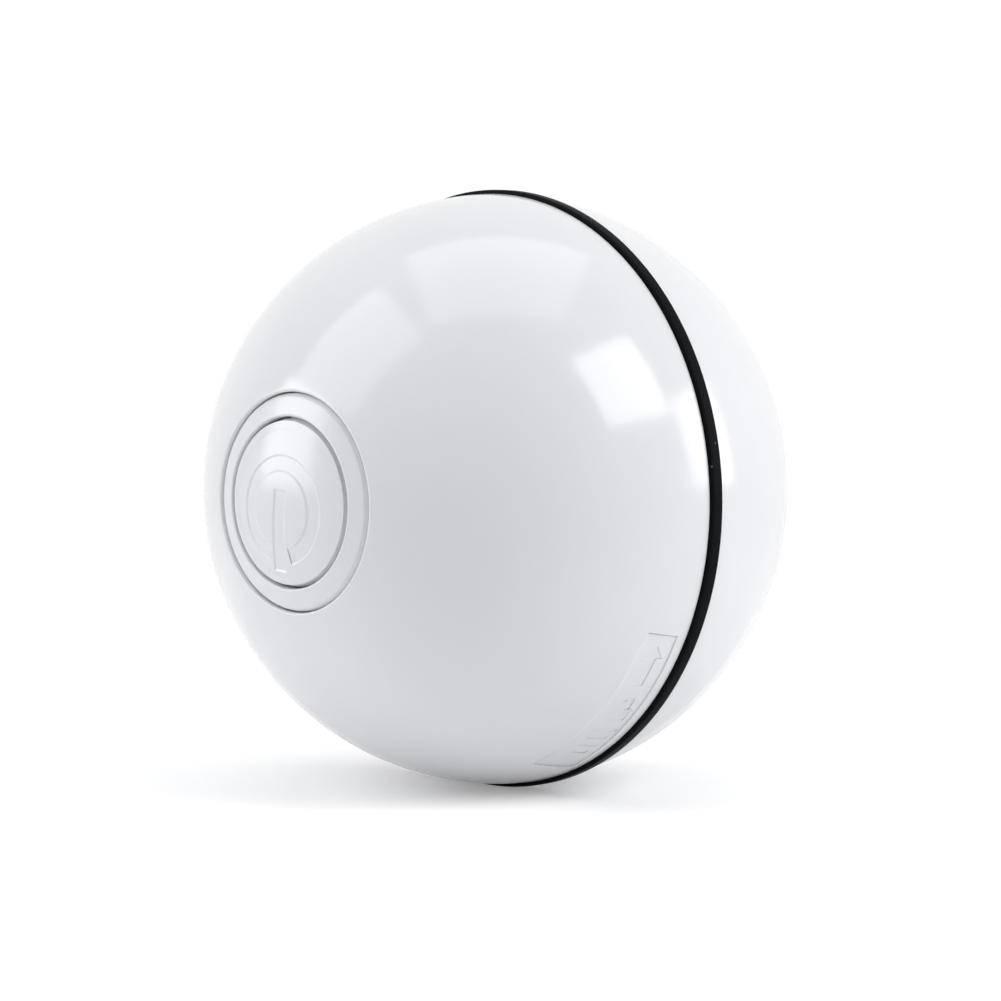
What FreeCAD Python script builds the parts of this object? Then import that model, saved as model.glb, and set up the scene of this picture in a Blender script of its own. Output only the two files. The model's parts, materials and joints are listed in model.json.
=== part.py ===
"""Self-rolling cat ball: two halves on a rubber tread ring, with a weighted drive pod hanging inside.

Millimetres. The origin is the ball's centre, +Z is up and Y is the rolling axis. The half with the push
button faces -Y and the half that twists off faces +Y. Angles in the XZ plane run from +X towards +Z.
"""

import FreeCAD, Part
import math
import os

V = FreeCAD.Vector
AXIS = V(0, 1, 0)
CENTRE = V(0, 0, 0)

# Ball and tread ring
ring_radius = 32.0
ring_proud = 0.4
pole_flat = 0.5
shell_wall = 2.5
wall_step_angle = 10.0
ring_width = 1.5
ring_shoulder = 0.25
bead_width = 2.3
bead_height = 1.0
bead_fit = 0.05
seam_gap = 0.05

# Collar on the front shell and the bayonet that holds the rear shell
rim_wall = 2.4
collar_wall = 2.0
collar_reach = 5.0
collar_root = 3.5
collar_fit = 0.1
collar_end_gap = 0.4
lug_count = 3
first_lug_angle = 30.0
lug_angle = 12.0
lug_height = 0.75
lug_root = 0.4
lug_thickness = 1.35
lug_inset = 0.775
lug_clearance = 0.13
lug_side_angle = 1.2
twist_angle = 20.0

# Button, its recess and its guide
land_width = 2.2
recess_depth = 4.2
recess_floor = 1.6
rim_bevel = 0.3
bezel_drop = 0.25
bezel_gap = 0.2
button_radius = 8.65
button_drop = 0.4
button_gap = 0.2
button_bevel = 0.35
button_thickness = 1.8
button_travel = 0.6
button_stem_radius = 2.2
stem_fit = 0.08
stem_tip = 1.0
stem_tip_radius = 1.5
boot_pocket_radius = 4.3
boot_pocket_depth = 4.6
boot_wall = 0.4
boot_folds = 2
boot_fit = 0.2
guide_web = 1.5
button_clip_groove = 0.5
button_clip_rim = 1.2
button_clip_play = 0.05
clip_thickness = 0.6
clip_mouth_angle = 70.0

# Hub that carries the pod, and what turns on it
hub_radius = 6.0
hub_bore_radius = 4.4
hub_end = 0.3
hub_clip_gap = 0.2
hub_clip_groove = 0.6
hub_clip_rim = 0.9
groove_play = 0.05
bush_wall = 1.14
bush_collar_wall = 1.4
running_fit = 0.06
washer_thickness = 0.9
washer_radius = 8.0
end_play = 0.05

# Ring gear and the last pinion
drive_module = 0.5
ring_teeth = 64
drive_pinion_teeth = 12
ring_gear_gap = 1.6
ring_flange = 1.6
ring_face_width = 2.2
ring_rim = 1.55
ring_screw_circle = 10.8
ring_screw_count = 3
ring_boss_radius = 2.2
shell_rib = 1.0
shell_rib_drop = 1.0
pinion_front_gap = 0.3
pinion_back_gap = 0.4

# Fine gears between the motor and the last pinion
fine_module = 0.4
motor_pinion_teeth = 10
idler_big_teeth = 30
idler_small_teeth = 10
output_teeth = 30
idler_bearing = 105.0
pressure_angle = 25.0
tooth_head = 0.85
tooth_foot = 1.15
backlash = 0.09
hub_gear_gap = 0.3
gear_web_gap = 0.4
plate_gear_gap = 0.6
gear_join = 0.2
near_level_width = 1.7
far_level_width = 1.7
idler_axle_radius = 0.75
idler_axle_seat = 1.0
output_shaft_radius = 1.0
motor_shaft_radius = 0.5
motor_shaft_depth = 3.0
motor_shaft_tip = 0.3
shaft_fit = 0.05

# Pod frame, gear plate and cover. The pod's wall is straight between these creases
pod_gap = 1.2
pod_wall = 1.4
pod_creases = (-8.0, 0.0)
pod_front_gap = 0.5
front_plate = 1.5
gear_plate = 1.5
gear_plate_gap = 0.35
upper_post_angle = 20.0
gear_plate_post_radius = 1.9
gear_plate_post_gap = 0.54
cover_lap = 0.05
cover_screw_edge = 2.1
cover_post_angles = (60.0, 120.0, 200.0, 340.0)
cover_post_radius = 2.3
cover_post_depth = 9.0
post_web = 1.6
joint_depth = 0.5

# Motor
motor_width = 12.0
motor_height = 10.0
motor_length = 15.0
motor_x = 8.0
motor_z = 4.0
motor_nose_radius = 2.0
motor_nose = 0.8
motor_end_boss = 0.4
motor_screw_pitch = 9.0
motor_screw_depth = 2.0
motor_tab_pitch = 6.0
motor_tab_width = 1.5
motor_tab = 0.4
motor_tab_proud = 0.2

# Battery, its pads and the counterweight
battery_radius = 7.0
battery_length = 25.0
battery_front_gap = 0.08
battery_bevel = 0.5
battery_knob_radius = 2.8
battery_knob = 0.5
battery_pad = 1.6
cradle_inset = 2.5
cradle_side = 0.2
cradle_floor = 0.6
cradle_drop = 2.45
pad_length = 9.0
pad_width = 8.0
pad_rise = 4.9
weight_fit = 0.1
weight_front_gap = 0.6
weight_end_gap = 0.5

# Circuit board, what stands on it, and the lamps
board_gap = 0.9
board = 1.0
board_edge_gap = 0.5
cover_room = 0.4
control_chip_x = -7.0
control_chip_z = -3.0
control_chip_side = 5.0
charge_chip_x = -5.5
charge_chip_z = -9.0
charge_chip_side = 3.0
chip_height = 0.9
coil_x = 1.0
coil_z = -8.0
coil_radius = 2.0
coil_height = 1.6
capacitor_x = -0.4
capacitor_z = 10.0
capacitor_pitch = 3.6
capacitor_width = 1.6
capacitor_length = 3.0
capacitor_height = 0.8
peg_edge = 2.1
peg_angles = (0.0, 130.0, 230.0)
peg_radius = 1.4
peg_tip_radius = 0.7
peg_tip = 0.4
lamp_edge = 4.6
lamp_angles = (-40.0, 40.0)
lamp_radius = 1.5
lamp_bevel = 0.6
lamp_window_gap = 0.1
lamp_proud = 0.2

# Charging port
port_x = -9.0
port_z = 6.0
port_width = 8.94
port_height = 3.26
port_depth = 6.9
port_proud = 0.1
port_shell = 0.3
port_back = 1.0
port_tongue = 0.7
port_tongue_width = 6.7
port_tongue_inset = 0.8
port_slot_gap = 0.2
port_board_gap = 0.15

# Switch on the axis and its wire
switch_board_side = 9.0
switch_board = 1.0
switch_side = 6.0
switch_height = 3.3
switch_stem_radius = 1.7
switch_stem_length = 1.1
switch_stem_seat = 0.5
switch_bore_gap = 0.08
switch_travel = 0.5
switch_well_gap = 0.2
switch_lead_x = -10.0
switch_lead_z = 0.0

# Rear pivot
pin_radius = 2.0
pin_bevel = 0.4
pin_seat_gap = 0.6
pin_tip_gap = 1.0
pin_boss_radius = 3.6
pin_boss_rise = 2.0
rear_bush_radius = 3.4
rear_bush_length = 6.3
rear_bush_gap = 0.2
rear_hub_radius = 4.8
rear_hub_drop = 0.4
rear_hub_floor = 1.2
rear_rib_count = 6
rear_rib_drop = 2.0

# Screws and wires
screw_radius = 0.8
screw_head_radius = 1.4
screw_head = 0.8
screw_head_gap = 0.15
screw_bite = 3.4
cell_screw_gap = 0.45
wire_radius = 0.45
wire_bend = 1.3
wire_run = 1.6

# Worked-out sizes of the ball
recess_radius = button_radius + button_gap + land_width + bezel_gap
shell_radius = ring_radius - ring_proud
pole_height = shell_radius - pole_flat
cavity_radius = shell_radius - shell_wall
collar_radius = shell_radius - rim_wall
collar_bore = collar_radius - collar_wall
half_ring = ring_width / 2
floor_y = -(pole_height - recess_depth)
floor_back_y = floor_y + recess_floor
web_front_y = floor_y + boot_pocket_depth
web_back_y = web_front_y + guide_web

# Worked-out sizes of the ring gear, the hub and the pod's front plate
ring_pitch_radius = drive_module * ring_teeth / 2
ring_outer_radius = ring_pitch_radius + drive_module * tooth_foot + ring_rim
ring_gear_front_y = pole_flat - math.sqrt((cavity_radius - ring_gear_gap) ** 2 - ring_outer_radius**2)
ring_web_y = ring_gear_front_y + ring_flange
ring_gear_end_y = ring_web_y + ring_face_width
drive_distance = ring_pitch_radius - drive_module * drive_pinion_teeth / 2
bush_radius = hub_radius + running_fit + bush_wall
bush_front_y = ring_web_y + washer_thickness + 2 * end_play
front_plate_y = ring_gear_end_y + pod_front_gap
front_plate_back_y = front_plate_y + front_plate
hub_clip_y = front_plate_back_y + hub_clip_gap
hub_end_y = hub_clip_y + clip_thickness + hub_end

# Worked-out sizes of the gear space, the motor and the pod's wall
near_level_y = hub_end_y + hub_gear_gap
far_level_y = near_level_y + near_level_width + gear_web_gap
gear_plate_front_y = far_level_y + far_level_width + plate_gear_gap
gear_plate_back_y = gear_plate_front_y + gear_plate
motor_end_y = gear_plate_back_y + motor_length
frame_end_y = motor_end_y
pod_radius = collar_bore - pod_gap
pod_bore = pod_radius - pod_wall
gear_plate_post_circle = (
    math.sqrt(pod_bore**2 - front_plate_back_y**2) - gear_plate_post_gap - gear_plate_post_radius
)
lower_post_x = battery_length / 2 + cell_screw_gap + screw_head_radius
lower_post_angle = math.degrees(math.acos(lower_post_x / gear_plate_post_circle))
gear_plate_post_angles = (
    upper_post_angle, 180 - upper_post_angle, 180 + lower_post_angle, 360 - lower_post_angle,
)
battery_y = gear_plate_back_y + battery_front_gap + battery_radius
battery_z = motor_z - motor_height / 2 - battery_pad - battery_radius
weight_top_z = battery_z - battery_radius - cradle_floor

# Worked-out sizes of the board, the cover and the switch
board_front_y = motor_end_y + board_gap
board_back_y = board_front_y + board
cover_inside_y = board_back_y + coil_height + cover_room
cover_end_y = cover_inside_y + pod_wall
cover_post_circle = math.sqrt(pod_radius**2 - cover_end_y**2) - cover_screw_edge
board_radius = cover_post_circle - cover_post_radius - board_edge_gap
peg_circle = board_radius - peg_edge
lamp_circle = board_radius - lamp_edge
switch_front_y = gear_plate_front_y - switch_board - switch_height
switch_stem_y = switch_front_y - switch_stem_length
stem_tip_y = switch_stem_y - (button_travel - switch_travel)

# Worked-out sizes of the rear pivot
rear_hub_bore_end_y = pole_height - shell_wall - rear_hub_floor
rear_bush_end_y = rear_hub_bore_end_y - rear_bush_gap
rear_bush_y = rear_bush_end_y - rear_bush_length
rear_hub_y = rear_bush_y - rear_hub_drop
pin_seat_y = board_back_y + pin_seat_gap
pin_boss_end_y = cover_end_y + pin_boss_rise
pin_end_y = rear_bush_end_y - pin_tip_gap


def at(radius, angle):
    """X and Z of a point at this radius and angle about the rolling axis."""
    return radius * math.cos(math.radians(angle)), radius * math.sin(math.radians(angle))


def rod(radius, y0, y1, x=0.0, z=0.0):
    """Round bar along the rolling axis."""
    return Part.makeCylinder(radius, y1 - y0, V(x, y0, z), AXIS)


def tube(outer, inner, y0, y1, x=0.0, z=0.0):
    """Round sleeve along the rolling axis."""
    return rod(outer, y0, y1, x, z).cut(rod(inner, y0 - 1, y1 + 1, x, z))


def block(x0, x1, y0, y1, z0, z1):
    """Box between two corners."""
    return Part.makeBox(x1 - x0, y1 - y0, z1 - z0, V(x0, y0, z0))


def turned(shape, angle):
    """Copy turned about the rolling axis, from +X towards +Z."""
    copy = shape.copy()
    copy.rotate(CENTRE, AXIS, -angle)
    return copy


def line(a, b):
    """Straight edge of a profile, given as radius and Y."""
    return Part.LineSegment(V(a[0], a[1], 0), V(b[0], b[1], 0)).toShape()


def arc(a, middle, b):
    """Arc edge of a profile through three points, each a radius and Y."""
    return Part.Arc(V(a[0], a[1], 0), V(middle[0], middle[1], 0), V(b[0], b[1], 0)).toShape()


def chain(points):
    """Straight edges through these profile points."""
    return [line(a, b) for a, b in zip(points, points[1:])]


def spun(edges, angle=360.0):
    """Solid of revolution about the rolling axis from a closed profile."""
    face = Part.Face(Part.Wire(Part.__sortEdges__(edges)))
    solid = face.revolve(CENTRE, AXIS, angle)
    if solid.Volume < 0:
        solid.reverse()
    return solid


def lathe(points):
    """Solid of revolution from a closed polygon of radius and Y."""
    return spun(chain(list(points) + [points[0]]))


def cap_y(radius, sphere, side):
    """Y of a half's spherical face at this radius. side is -1 at the button and +1 at the rear."""
    return side * (math.sqrt(sphere**2 - radius**2) - pole_flat)


def cap_radius(y, sphere):
    """Radius of a half's spherical face at this distance from the mid-plane."""
    return math.sqrt(sphere**2 - (abs(y) + pole_flat) ** 2)


def cap_arc(r0, r1, sphere, side):
    """Arc of a half's spherical face from radius r0 to radius r1."""
    start = math.acos(r0 / sphere)
    end = math.acos(r1 / sphere)
    mid = sphere * math.cos((start + end) / 2)
    return arc(
        (r0, cap_y(r0, sphere, side)),
        (mid, cap_y(mid, sphere, side)),
        (r1, cap_y(r1, sphere, side)),
    )


def cap_chords(r0, r1, sphere, side):
    """Short straight steps along a half's inner face from radius r0 to radius r1."""
    start = math.acos(r0 / sphere)
    end = math.acos(r1 / sphere)
    count = math.ceil(abs(end - start) / math.radians(wall_step_angle))
    radii = [sphere * math.cos(start + (end - start) * i / count) for i in range(count + 1)]
    return chain([(r, cap_y(r, sphere, side)) for r in radii])


def rib_limit(side):
    """Ball in the middle of a half's wall, where its ribs end."""
    return Part.makeSphere(cavity_radius + shell_wall / 2, V(0, -side * pole_flat, 0))


def involute(angle):
    """Involute function of a pressure angle in radians."""
    return math.tan(angle) - angle


def flank_angle(radius, base, pitch, half_pitch_angle):
    """Half the angle that a tooth takes up at this radius."""
    pressure = math.radians(pressure_angle)
    return half_pitch_angle + involute(pressure) - involute(math.acos(min(base / radius, 1.0)))


def tooth_points(teeth, module, head, foot, thinning):
    """Radii and half angles of one flank, from root to tip, for a tooth thinned by this much."""
    pitch = module * teeth / 2
    base = pitch * math.cos(math.radians(pressure_angle))
    root = pitch - foot
    tip = pitch + head
    half = math.pi / (2 * teeth) - thinning / (2 * pitch)
    start = max(base, root)
    middle = (start + tip) / 2
    flank = [(radius, flank_angle(radius, base, pitch, half)) for radius in (start, middle, tip)]
    return root, flank


def gear_face(teeth, module, head, foot, thinning, y, phase):
    """Toothed outline as a face across the rolling axis, with a tooth centred on the angle phase."""
    root, flank = tooth_points(teeth, module, head, foot, thinning)
    pitch_angle = 2 * math.pi / teeth

    def point(radius, angle):
        return V(radius * math.cos(angle), y, radius * math.sin(angle))

    edges = []
    for i in range(teeth):
        centre = math.radians(phase) + i * pitch_angle
        rise = [point(radius, centre - half) for radius, half in flank]
        fall = [point(radius, centre + half) for radius, half in reversed(flank)]
        foot_in = point(root, centre - flank[0][1])
        foot_out = point(root, centre + flank[0][1])
        next_foot = point(root, centre + pitch_angle - flank[0][1])
        if flank[0][0] > root + 1e-6:
            edges.append(Part.LineSegment(foot_in, rise[0]).toShape())
        edges.append(Part.Arc(*rise).toShape())
        edges.append(Part.LineSegment(rise[-1], fall[0]).toShape())
        edges.append(Part.Arc(*fall).toShape())
        if flank[0][0] > root + 1e-6:
            edges.append(Part.LineSegment(fall[-1], foot_out).toShape())
        edges.append(Part.LineSegment(foot_out, next_foot).toShape())
    return Part.Face(Part.Wire(edges))


def gear(teeth, module, y0, y1, phase, bore):
    """Spur gear about the rolling axis, with a tooth centred on the angle phase."""
    face = gear_face(teeth, module, module * tooth_head, module * tooth_foot, backlash, y0, phase)
    return face.extrude(V(0, y1 - y0, 0)).cut(rod(bore, y0 - 1, y1 + 1))


def moved(shape, x, z):
    """Copy moved across the rolling axis."""
    copy = shape.copy()
    copy.translate(V(x, 0, z))
    return copy


def bearing_of(a, b):
    """Angle of the direction from point a to point b."""
    return math.degrees(math.atan2(b[1] - a[1], b[0] - a[0]))


def gear_centres():
    """Axes of the motor, the idler and the output shaft, in mesh with each other and with the ring gear."""
    motor = (motor_x, motor_z)
    reach = fine_module * (motor_pinion_teeth + idler_big_teeth) / 2
    step = at(reach, idler_bearing)
    idler = (motor[0] + step[0], motor[1] + step[1])
    span = fine_module * (idler_small_teeth + output_teeth) / 2
    distance = math.hypot(*idler)
    turn = math.acos((distance**2 + drive_distance**2 - span**2) / (2 * distance * drive_distance))
    output = at(drive_distance, bearing_of((0, 0), idler) + math.degrees(turn))
    return motor, idler, output


MOTOR_AXIS, IDLER_AXIS, OUTPUT_AXIS = gear_centres()


def screw(x, z, seat_y, end_y, countersunk=False):
    """Screw driven from its head towards end_y, with its head's seat at seat_y."""
    way = 1 if end_y > seat_y else -1
    direction = V(0, way, 0)
    top = V(x, seat_y - way * screw_head, z)
    shank = Part.makeCylinder(screw_radius, abs(end_y - seat_y), V(x, seat_y, z), direction)
    if countersunk:
        head = Part.makeCone(screw_head_radius, screw_radius, screw_head, top, direction)
    else:
        head = Part.makeCylinder(screw_head_radius, screw_head, top, direction)
    return shank.fuse(head).removeSplitter()


def screw_hole(x, z, seat_y, end_y, countersunk=False):
    """Room for such a screw: its shank's bore with a fitting countersink or a wider counterbore."""
    way = 1 if end_y > seat_y else -1
    direction = V(0, way, 0)
    top = V(x, seat_y - way * screw_head, z)
    shank = Part.makeCylinder(screw_radius, abs(end_y - seat_y), V(x, seat_y, z), direction)
    if countersunk:
        head = Part.makeCone(screw_head_radius, screw_radius, screw_head, top, direction)
    else:
        depth = screw_head + 1
        radius = screw_head_radius + screw_head_gap
        head = Part.makeCylinder(radius, depth, V(x, seat_y - way * depth, z), direction)
    return shank.fuse(head)


def retaining_ring(inner, outer, y0):
    """Flat spring clip with a mouth at the top."""
    ring = tube(outer, inner, y0, y0 + clip_thickness)
    half = math.radians(clip_mouth_angle / 2)
    far = 2 * outer
    mouth = Part.makePolygon([
        V(0, y0 - clip_thickness, 0),
        V(far * math.sin(half), y0 - clip_thickness, far * math.cos(half)),
        V(-far * math.sin(half), y0 - clip_thickness, far * math.cos(half)),
        V(0, y0 - clip_thickness, 0),
    ])
    return ring.cut(Part.Face(mouth).extrude(V(0, 3 * clip_thickness, 0)))


def ring_screw_angles():
    """Angles of the ring gear's screws."""
    return [90.0 + 180.0 / ring_screw_count + i * 360.0 / ring_screw_count for i in range(ring_screw_count)]


def sector(inner, outer, y0, y1, angle, width):
    """Piece of a sleeve centred on this angle."""
    face = Part.Face(Part.makePolygon([
        V(inner, y0, 0), V(outer, y0, 0), V(outer, y1, 0), V(inner, y1, 0), V(inner, y0, 0),
    ]))
    solid = face.revolve(CENTRE, V(0, -1, 0), width)
    if solid.Volume < 0:
        solid.reverse()
    return turned(solid, angle - width / 2)


def lug_angles():
    """Angles of the bayonet lugs."""
    return [first_lug_angle + i * 360.0 / lug_count for i in range(lug_count)]


def front_skin():
    """Wall of the front half with its recess, collar and rabbet for the ring's bead."""
    rim_y = -half_ring
    outer_rim = cap_radius(rim_y, shell_radius)
    shoulder = recess_radius + rim_bevel
    inner_flat = cap_radius(floor_back_y, cavity_radius)
    inner_root = cap_radius(collar_root, cavity_radius)
    bead_r = collar_radius + bead_height + bead_fit
    bead_y = -(bead_width / 2 + bead_fit)
    edges = [cap_arc(outer_rim, shoulder, shell_radius, -1)]
    edges += chain([
        (shoulder, cap_y(shoulder, shell_radius, -1)),
        (recess_radius, cap_y(shoulder, shell_radius, -1) + rim_bevel),
        (recess_radius, floor_y),
        (0, floor_y),
        (0, floor_back_y),
        (inner_flat, floor_back_y),
    ])
    edges += cap_chords(inner_flat, inner_root, cavity_radius, -1)
    edges += chain([
        (inner_root, -collar_root),
        (collar_bore, -collar_root + (inner_root - collar_bore)),
        (collar_bore, collar_reach),
        (collar_radius, collar_reach),
        (collar_radius, bead_y),
        (bead_r, bead_y),
        (bead_r, rim_y),
        (outer_rim, rim_y),
    ])
    return spun(edges)


def ring_bosses():
    """Bosses inside the front half for the ring gear's screws, each tied to the hub by a rib."""
    solids = []
    root = floor_back_y - joint_depth
    for angle in ring_screw_angles():
        x, z = at(ring_screw_circle, angle)
        solids.append(rod(ring_boss_radius, root, ring_gear_front_y, x, z))
        rib = block(
            hub_radius - joint_depth, ring_screw_circle, root,
            ring_gear_front_y - shell_rib_drop, -shell_rib / 2, shell_rib / 2,
        )
        solids.append(turned(rib, angle))
    return solids


def wall_ribs():
    """Ribs from the hub out to the front half's wall, between the bosses."""
    ribs = []
    for angle in ring_screw_angles():
        rib = block(
            hub_radius - joint_depth, ring_outer_radius, floor_back_y - joint_depth,
            ring_gear_front_y - 2 * shell_rib_drop, -shell_rib / 2, shell_rib / 2,
        )
        ribs.append(turned(rib.common(rib_limit(-1)), angle + 180.0 / ring_screw_count))
    return ribs


def front_shell():
    """Near half: wall, collar with bayonet lugs, button recess and the hub that the pod turns on."""
    hub = rod(hub_radius, floor_back_y - joint_depth, hub_end_y)
    body = front_skin().fuse([hub] + ring_bosses() + wall_ribs())
    body = body.cut(rod(hub_bore_radius, web_back_y, hub_end_y + 1))
    body = body.cut(rod(boot_pocket_radius, floor_y - 1, web_front_y))
    body = body.cut(rod(button_stem_radius + stem_fit, floor_y - 1, hub_end_y))
    body = body.cut(tube(hub_radius + 1, hub_radius - hub_clip_groove, hub_clip_y - groove_play,
                         hub_clip_y + clip_thickness + groove_play))
    lug_y = half_ring + lug_inset
    for angle in lug_angles():
        body = body.fuse(sector(collar_radius - lug_root, collar_radius + lug_height, lug_y,
                                lug_y + lug_thickness, angle, lug_angle))
    for angle in ring_screw_angles():
        x, z = at(ring_screw_circle, angle)
        body = body.cut(rod(screw_radius, ring_gear_front_y - screw_bite, ring_gear_front_y + 1, x, z))
    return body.removeSplitter()


def rubber_ring():
    """Tread ring with chamfered shoulders and a wider bead that both halves grip."""
    half = ring_width / 2
    wide = bead_width / 2
    bead_r = collar_radius + bead_height
    return lathe([
        (collar_radius, -wide), (bead_r, -wide), (bead_r, -half), (ring_radius - ring_shoulder, -half),
        (ring_radius, -half + ring_shoulder), (ring_radius, half - ring_shoulder),
        (ring_radius - ring_shoulder, half), (bead_r, half), (bead_r, wide), (collar_radius, wide),
    ])


def button_bezel():
    """Land between the recess edge and the button, which follows the ball a little below its surface."""
    inner = button_radius + button_gap
    outer = recess_radius - bezel_gap
    sphere = shell_radius - bezel_drop
    edges = [cap_arc(outer, inner, sphere, -1)]
    edges += chain([
        (inner, cap_y(inner, sphere, -1)), (inner, floor_y), (outer, floor_y),
        (outer, cap_y(outer, sphere, -1)),
    ])
    return spun(edges)


def button_cap():
    """Domed push button with its stem, a seat for the boot and a groove for the clip."""
    sphere = shell_radius - button_drop
    rim = button_radius - button_bevel
    rim_y = cap_y(rim, sphere, -1)
    clip_y = web_back_y + button_clip_play
    groove = button_stem_radius - button_clip_groove
    edges = [cap_arc(rim, 0, sphere, -1)]
    edges += chain([
        (rim, rim_y), (button_radius, rim_y + button_bevel), (button_radius, button_under_y()),
        (button_stem_radius, button_under_y()), (button_stem_radius, clip_y), (groove, clip_y),
        (groove, clip_y + clip_thickness), (button_stem_radius, clip_y + clip_thickness),
        (button_stem_radius, stem_tip_y - stem_tip), (stem_tip_radius, stem_tip_y),
        (0, stem_tip_y), (0, cap_y(0, sphere, -1)),
    ])
    return spun(edges)


def button_under_y():
    """Y of the button's underside."""
    return cap_y(button_radius, shell_radius - button_drop, -1) + button_thickness


def button_boot():
    """Silicone bellows between the pocket's floor and the button, round the stem."""
    top = button_under_y()
    inner = button_stem_radius + boot_fit
    outer = boot_pocket_radius - boot_fit
    swing = outer - inner - boot_wall
    steps = 2 * boot_folds
    pitch = (web_front_y - top) / steps
    inside = [(inner + (swing if i % 2 else 0.0), top + i * pitch) for i in range(steps + 1)]
    outside = [(r + boot_wall, y) for r, y in reversed(inside)]
    return lathe(inside + outside)


def button_clip():
    """Clip in the stem's groove, behind the guide web."""
    groove = button_stem_radius - button_clip_groove
    return retaining_ring(groove, button_stem_radius + button_clip_rim, web_back_y + button_clip_play)


def ring_gear():
    """Internal gear with a web that sits on the three bosses, round the hub."""
    body = tube(ring_outer_radius, hub_radius, ring_gear_front_y, ring_gear_end_y)
    face = gear_face(
        ring_teeth, drive_module, drive_module * tooth_foot, drive_module * tooth_head,
        -backlash, ring_web_y, bearing_of((0, 0), OUTPUT_AXIS),
    )
    body = body.cut(face.extrude(V(0, ring_face_width + 1, 0)))
    for angle in ring_screw_angles():
        x, z = at(ring_screw_circle, angle)
        body = body.cut(screw_hole(x, z, ring_web_y - screw_head, ring_gear_front_y - 1, True))
    return body


def ring_gear_screws():
    """Countersunk screws through the ring gear's web."""
    return [
        screw(*at(ring_screw_circle, angle), ring_web_y - screw_head, ring_gear_front_y - screw_bite, True)
        for angle in ring_screw_angles()
    ]


def thrust_washer():
    """Washer between the ring gear's web and the pod's bush."""
    y0 = ring_web_y + end_play
    return tube(washer_radius, hub_radius + running_fit, y0, y0 + washer_thickness)


def hub_clip():
    """Clip in the hub's groove that keeps the pod on the hub."""
    return retaining_ring(hub_radius - hub_clip_groove, hub_radius + hub_clip_rim, hub_clip_y)


def front_bush():
    """Bearing bush in the pod's front plate."""
    return tube(bush_radius, hub_radius + running_fit, bush_front_y, front_plate_back_y)


def post(circle, angle, radius, y0, y1, limit):
    """Screw post tied to the pod's round wall by a web, and trimmed to this limit."""
    web = block(circle, pod_radius, y0, y1, -post_web / 2, post_web / 2)
    return turned(rod(radius, y0, y1, circle, 0).fuse(web), angle).common(limit)


def pod_zone(sphere, y0, y1):
    """Drum whose wall is straight between creases that lie on a ball about the centre."""
    levels = [y0] + [y for y in pod_creases if y0 < y < y1] + [y1]
    wall = [(math.sqrt(sphere**2 - y**2), y) for y in levels]
    return lathe([(0, y0)] + wall + [(0, y1)])


def pod_frame():
    """Cup that hangs on the hub: front plate, round wall, and posts for the gear plate and the cover."""
    body = pod_zone(pod_radius, front_plate_y, frame_end_y)
    body = body.cut(pod_zone(pod_bore, front_plate_back_y, frame_end_y))
    body = body.fuse(rod(bush_radius + bush_collar_wall, bush_front_y, front_plate_back_y))
    limit = pod_zone(pod_bore + pod_wall / 2, front_plate_y, frame_end_y)
    posts = []
    for angle in gear_plate_post_angles:
        x, z = at(gear_plate_post_circle, angle)
        posts.append(rod(gear_plate_post_radius, front_plate_back_y - joint_depth, gear_plate_front_y, x, z))
    for angle in cover_post_angles:
        posts.append(post(cover_post_circle, angle, cover_post_radius,
                          frame_end_y - cover_post_depth, frame_end_y, limit))
    body = body.fuse(posts)
    body = body.cut(rod(bush_radius, bush_front_y - 1, front_plate_back_y + 1))
    body = body.cut(rod(output_shaft_radius + shaft_fit, front_plate_y - 1, front_plate_back_y + 1,
                        *OUTPUT_AXIS))
    body = body.cut(rod(idler_axle_radius, front_plate_back_y - idler_axle_seat, front_plate_back_y + 1,
                        *IDLER_AXIS))
    for angle in gear_plate_post_angles:
        x, z = at(gear_plate_post_circle, angle)
        body = body.cut(rod(screw_radius, gear_plate_front_y - screw_bite, gear_plate_front_y + 1, x, z))
    for angle in cover_post_angles:
        x, z = at(cover_post_circle, angle)
        body = body.cut(rod(screw_radius, frame_end_y - screw_bite, frame_end_y + 1, x, z))
    return body.removeSplitter()


def through_plate(radius, x, z):
    """Bore right through the gear plate."""
    return rod(radius, gear_plate_front_y - 1, gear_plate_back_y + 1, x, z)


def motor_screw_places():
    """X and Z of the motor's two screws."""
    return [(motor_x + side * motor_screw_pitch / 2, motor_z) for side in (-1, 1)]


def gear_plate_piece():
    """Inner plate that closes the gear space and carries the motor, with a flat over the counterweight."""
    radius = math.sqrt(pod_bore**2 - gear_plate_front_y**2) - gear_plate_gap
    below = block(-pod_radius, pod_radius, gear_plate_front_y - 1, gear_plate_back_y + 1,
                  -pod_radius, weight_top_z + gear_plate_gap)
    cuts = [
        below,
        through_plate(motor_nose_radius + shaft_fit, *MOTOR_AXIS),
        through_plate(idler_axle_radius, *IDLER_AXIS),
        through_plate(output_shaft_radius + shaft_fit, *OUTPUT_AXIS),
        through_plate(2 * wire_radius, switch_lead_x, switch_lead_z),
    ]
    for x, z in motor_screw_places():
        cuts.append(screw_hole(x, z, gear_plate_front_y + screw_head, gear_plate_back_y + 1, True))
    for angle in gear_plate_post_angles:
        cuts.append(through_plate(screw_radius, *at(gear_plate_post_circle, angle)))
    return rod(radius, gear_plate_front_y, gear_plate_back_y).cut(cuts)


def gear_plate_screws():
    """Screws that hold the gear plate to the frame's posts."""
    return [
        screw(*at(gear_plate_post_circle, angle), gear_plate_back_y, gear_plate_front_y - screw_bite)
        for angle in gear_plate_post_angles
    ]


def motor_tabs(y0, y1):
    """The motor's two solder tabs between these Y values."""
    tabs = []
    for side in (-1, 1):
        x = motor_x + side * motor_tab_pitch / 2
        tabs.append(block(x - motor_tab_width / 2, x + motor_tab_width / 2, y0, y1,
                          motor_z - motor_tab / 2, motor_z + motor_tab / 2))
    return tabs


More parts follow.
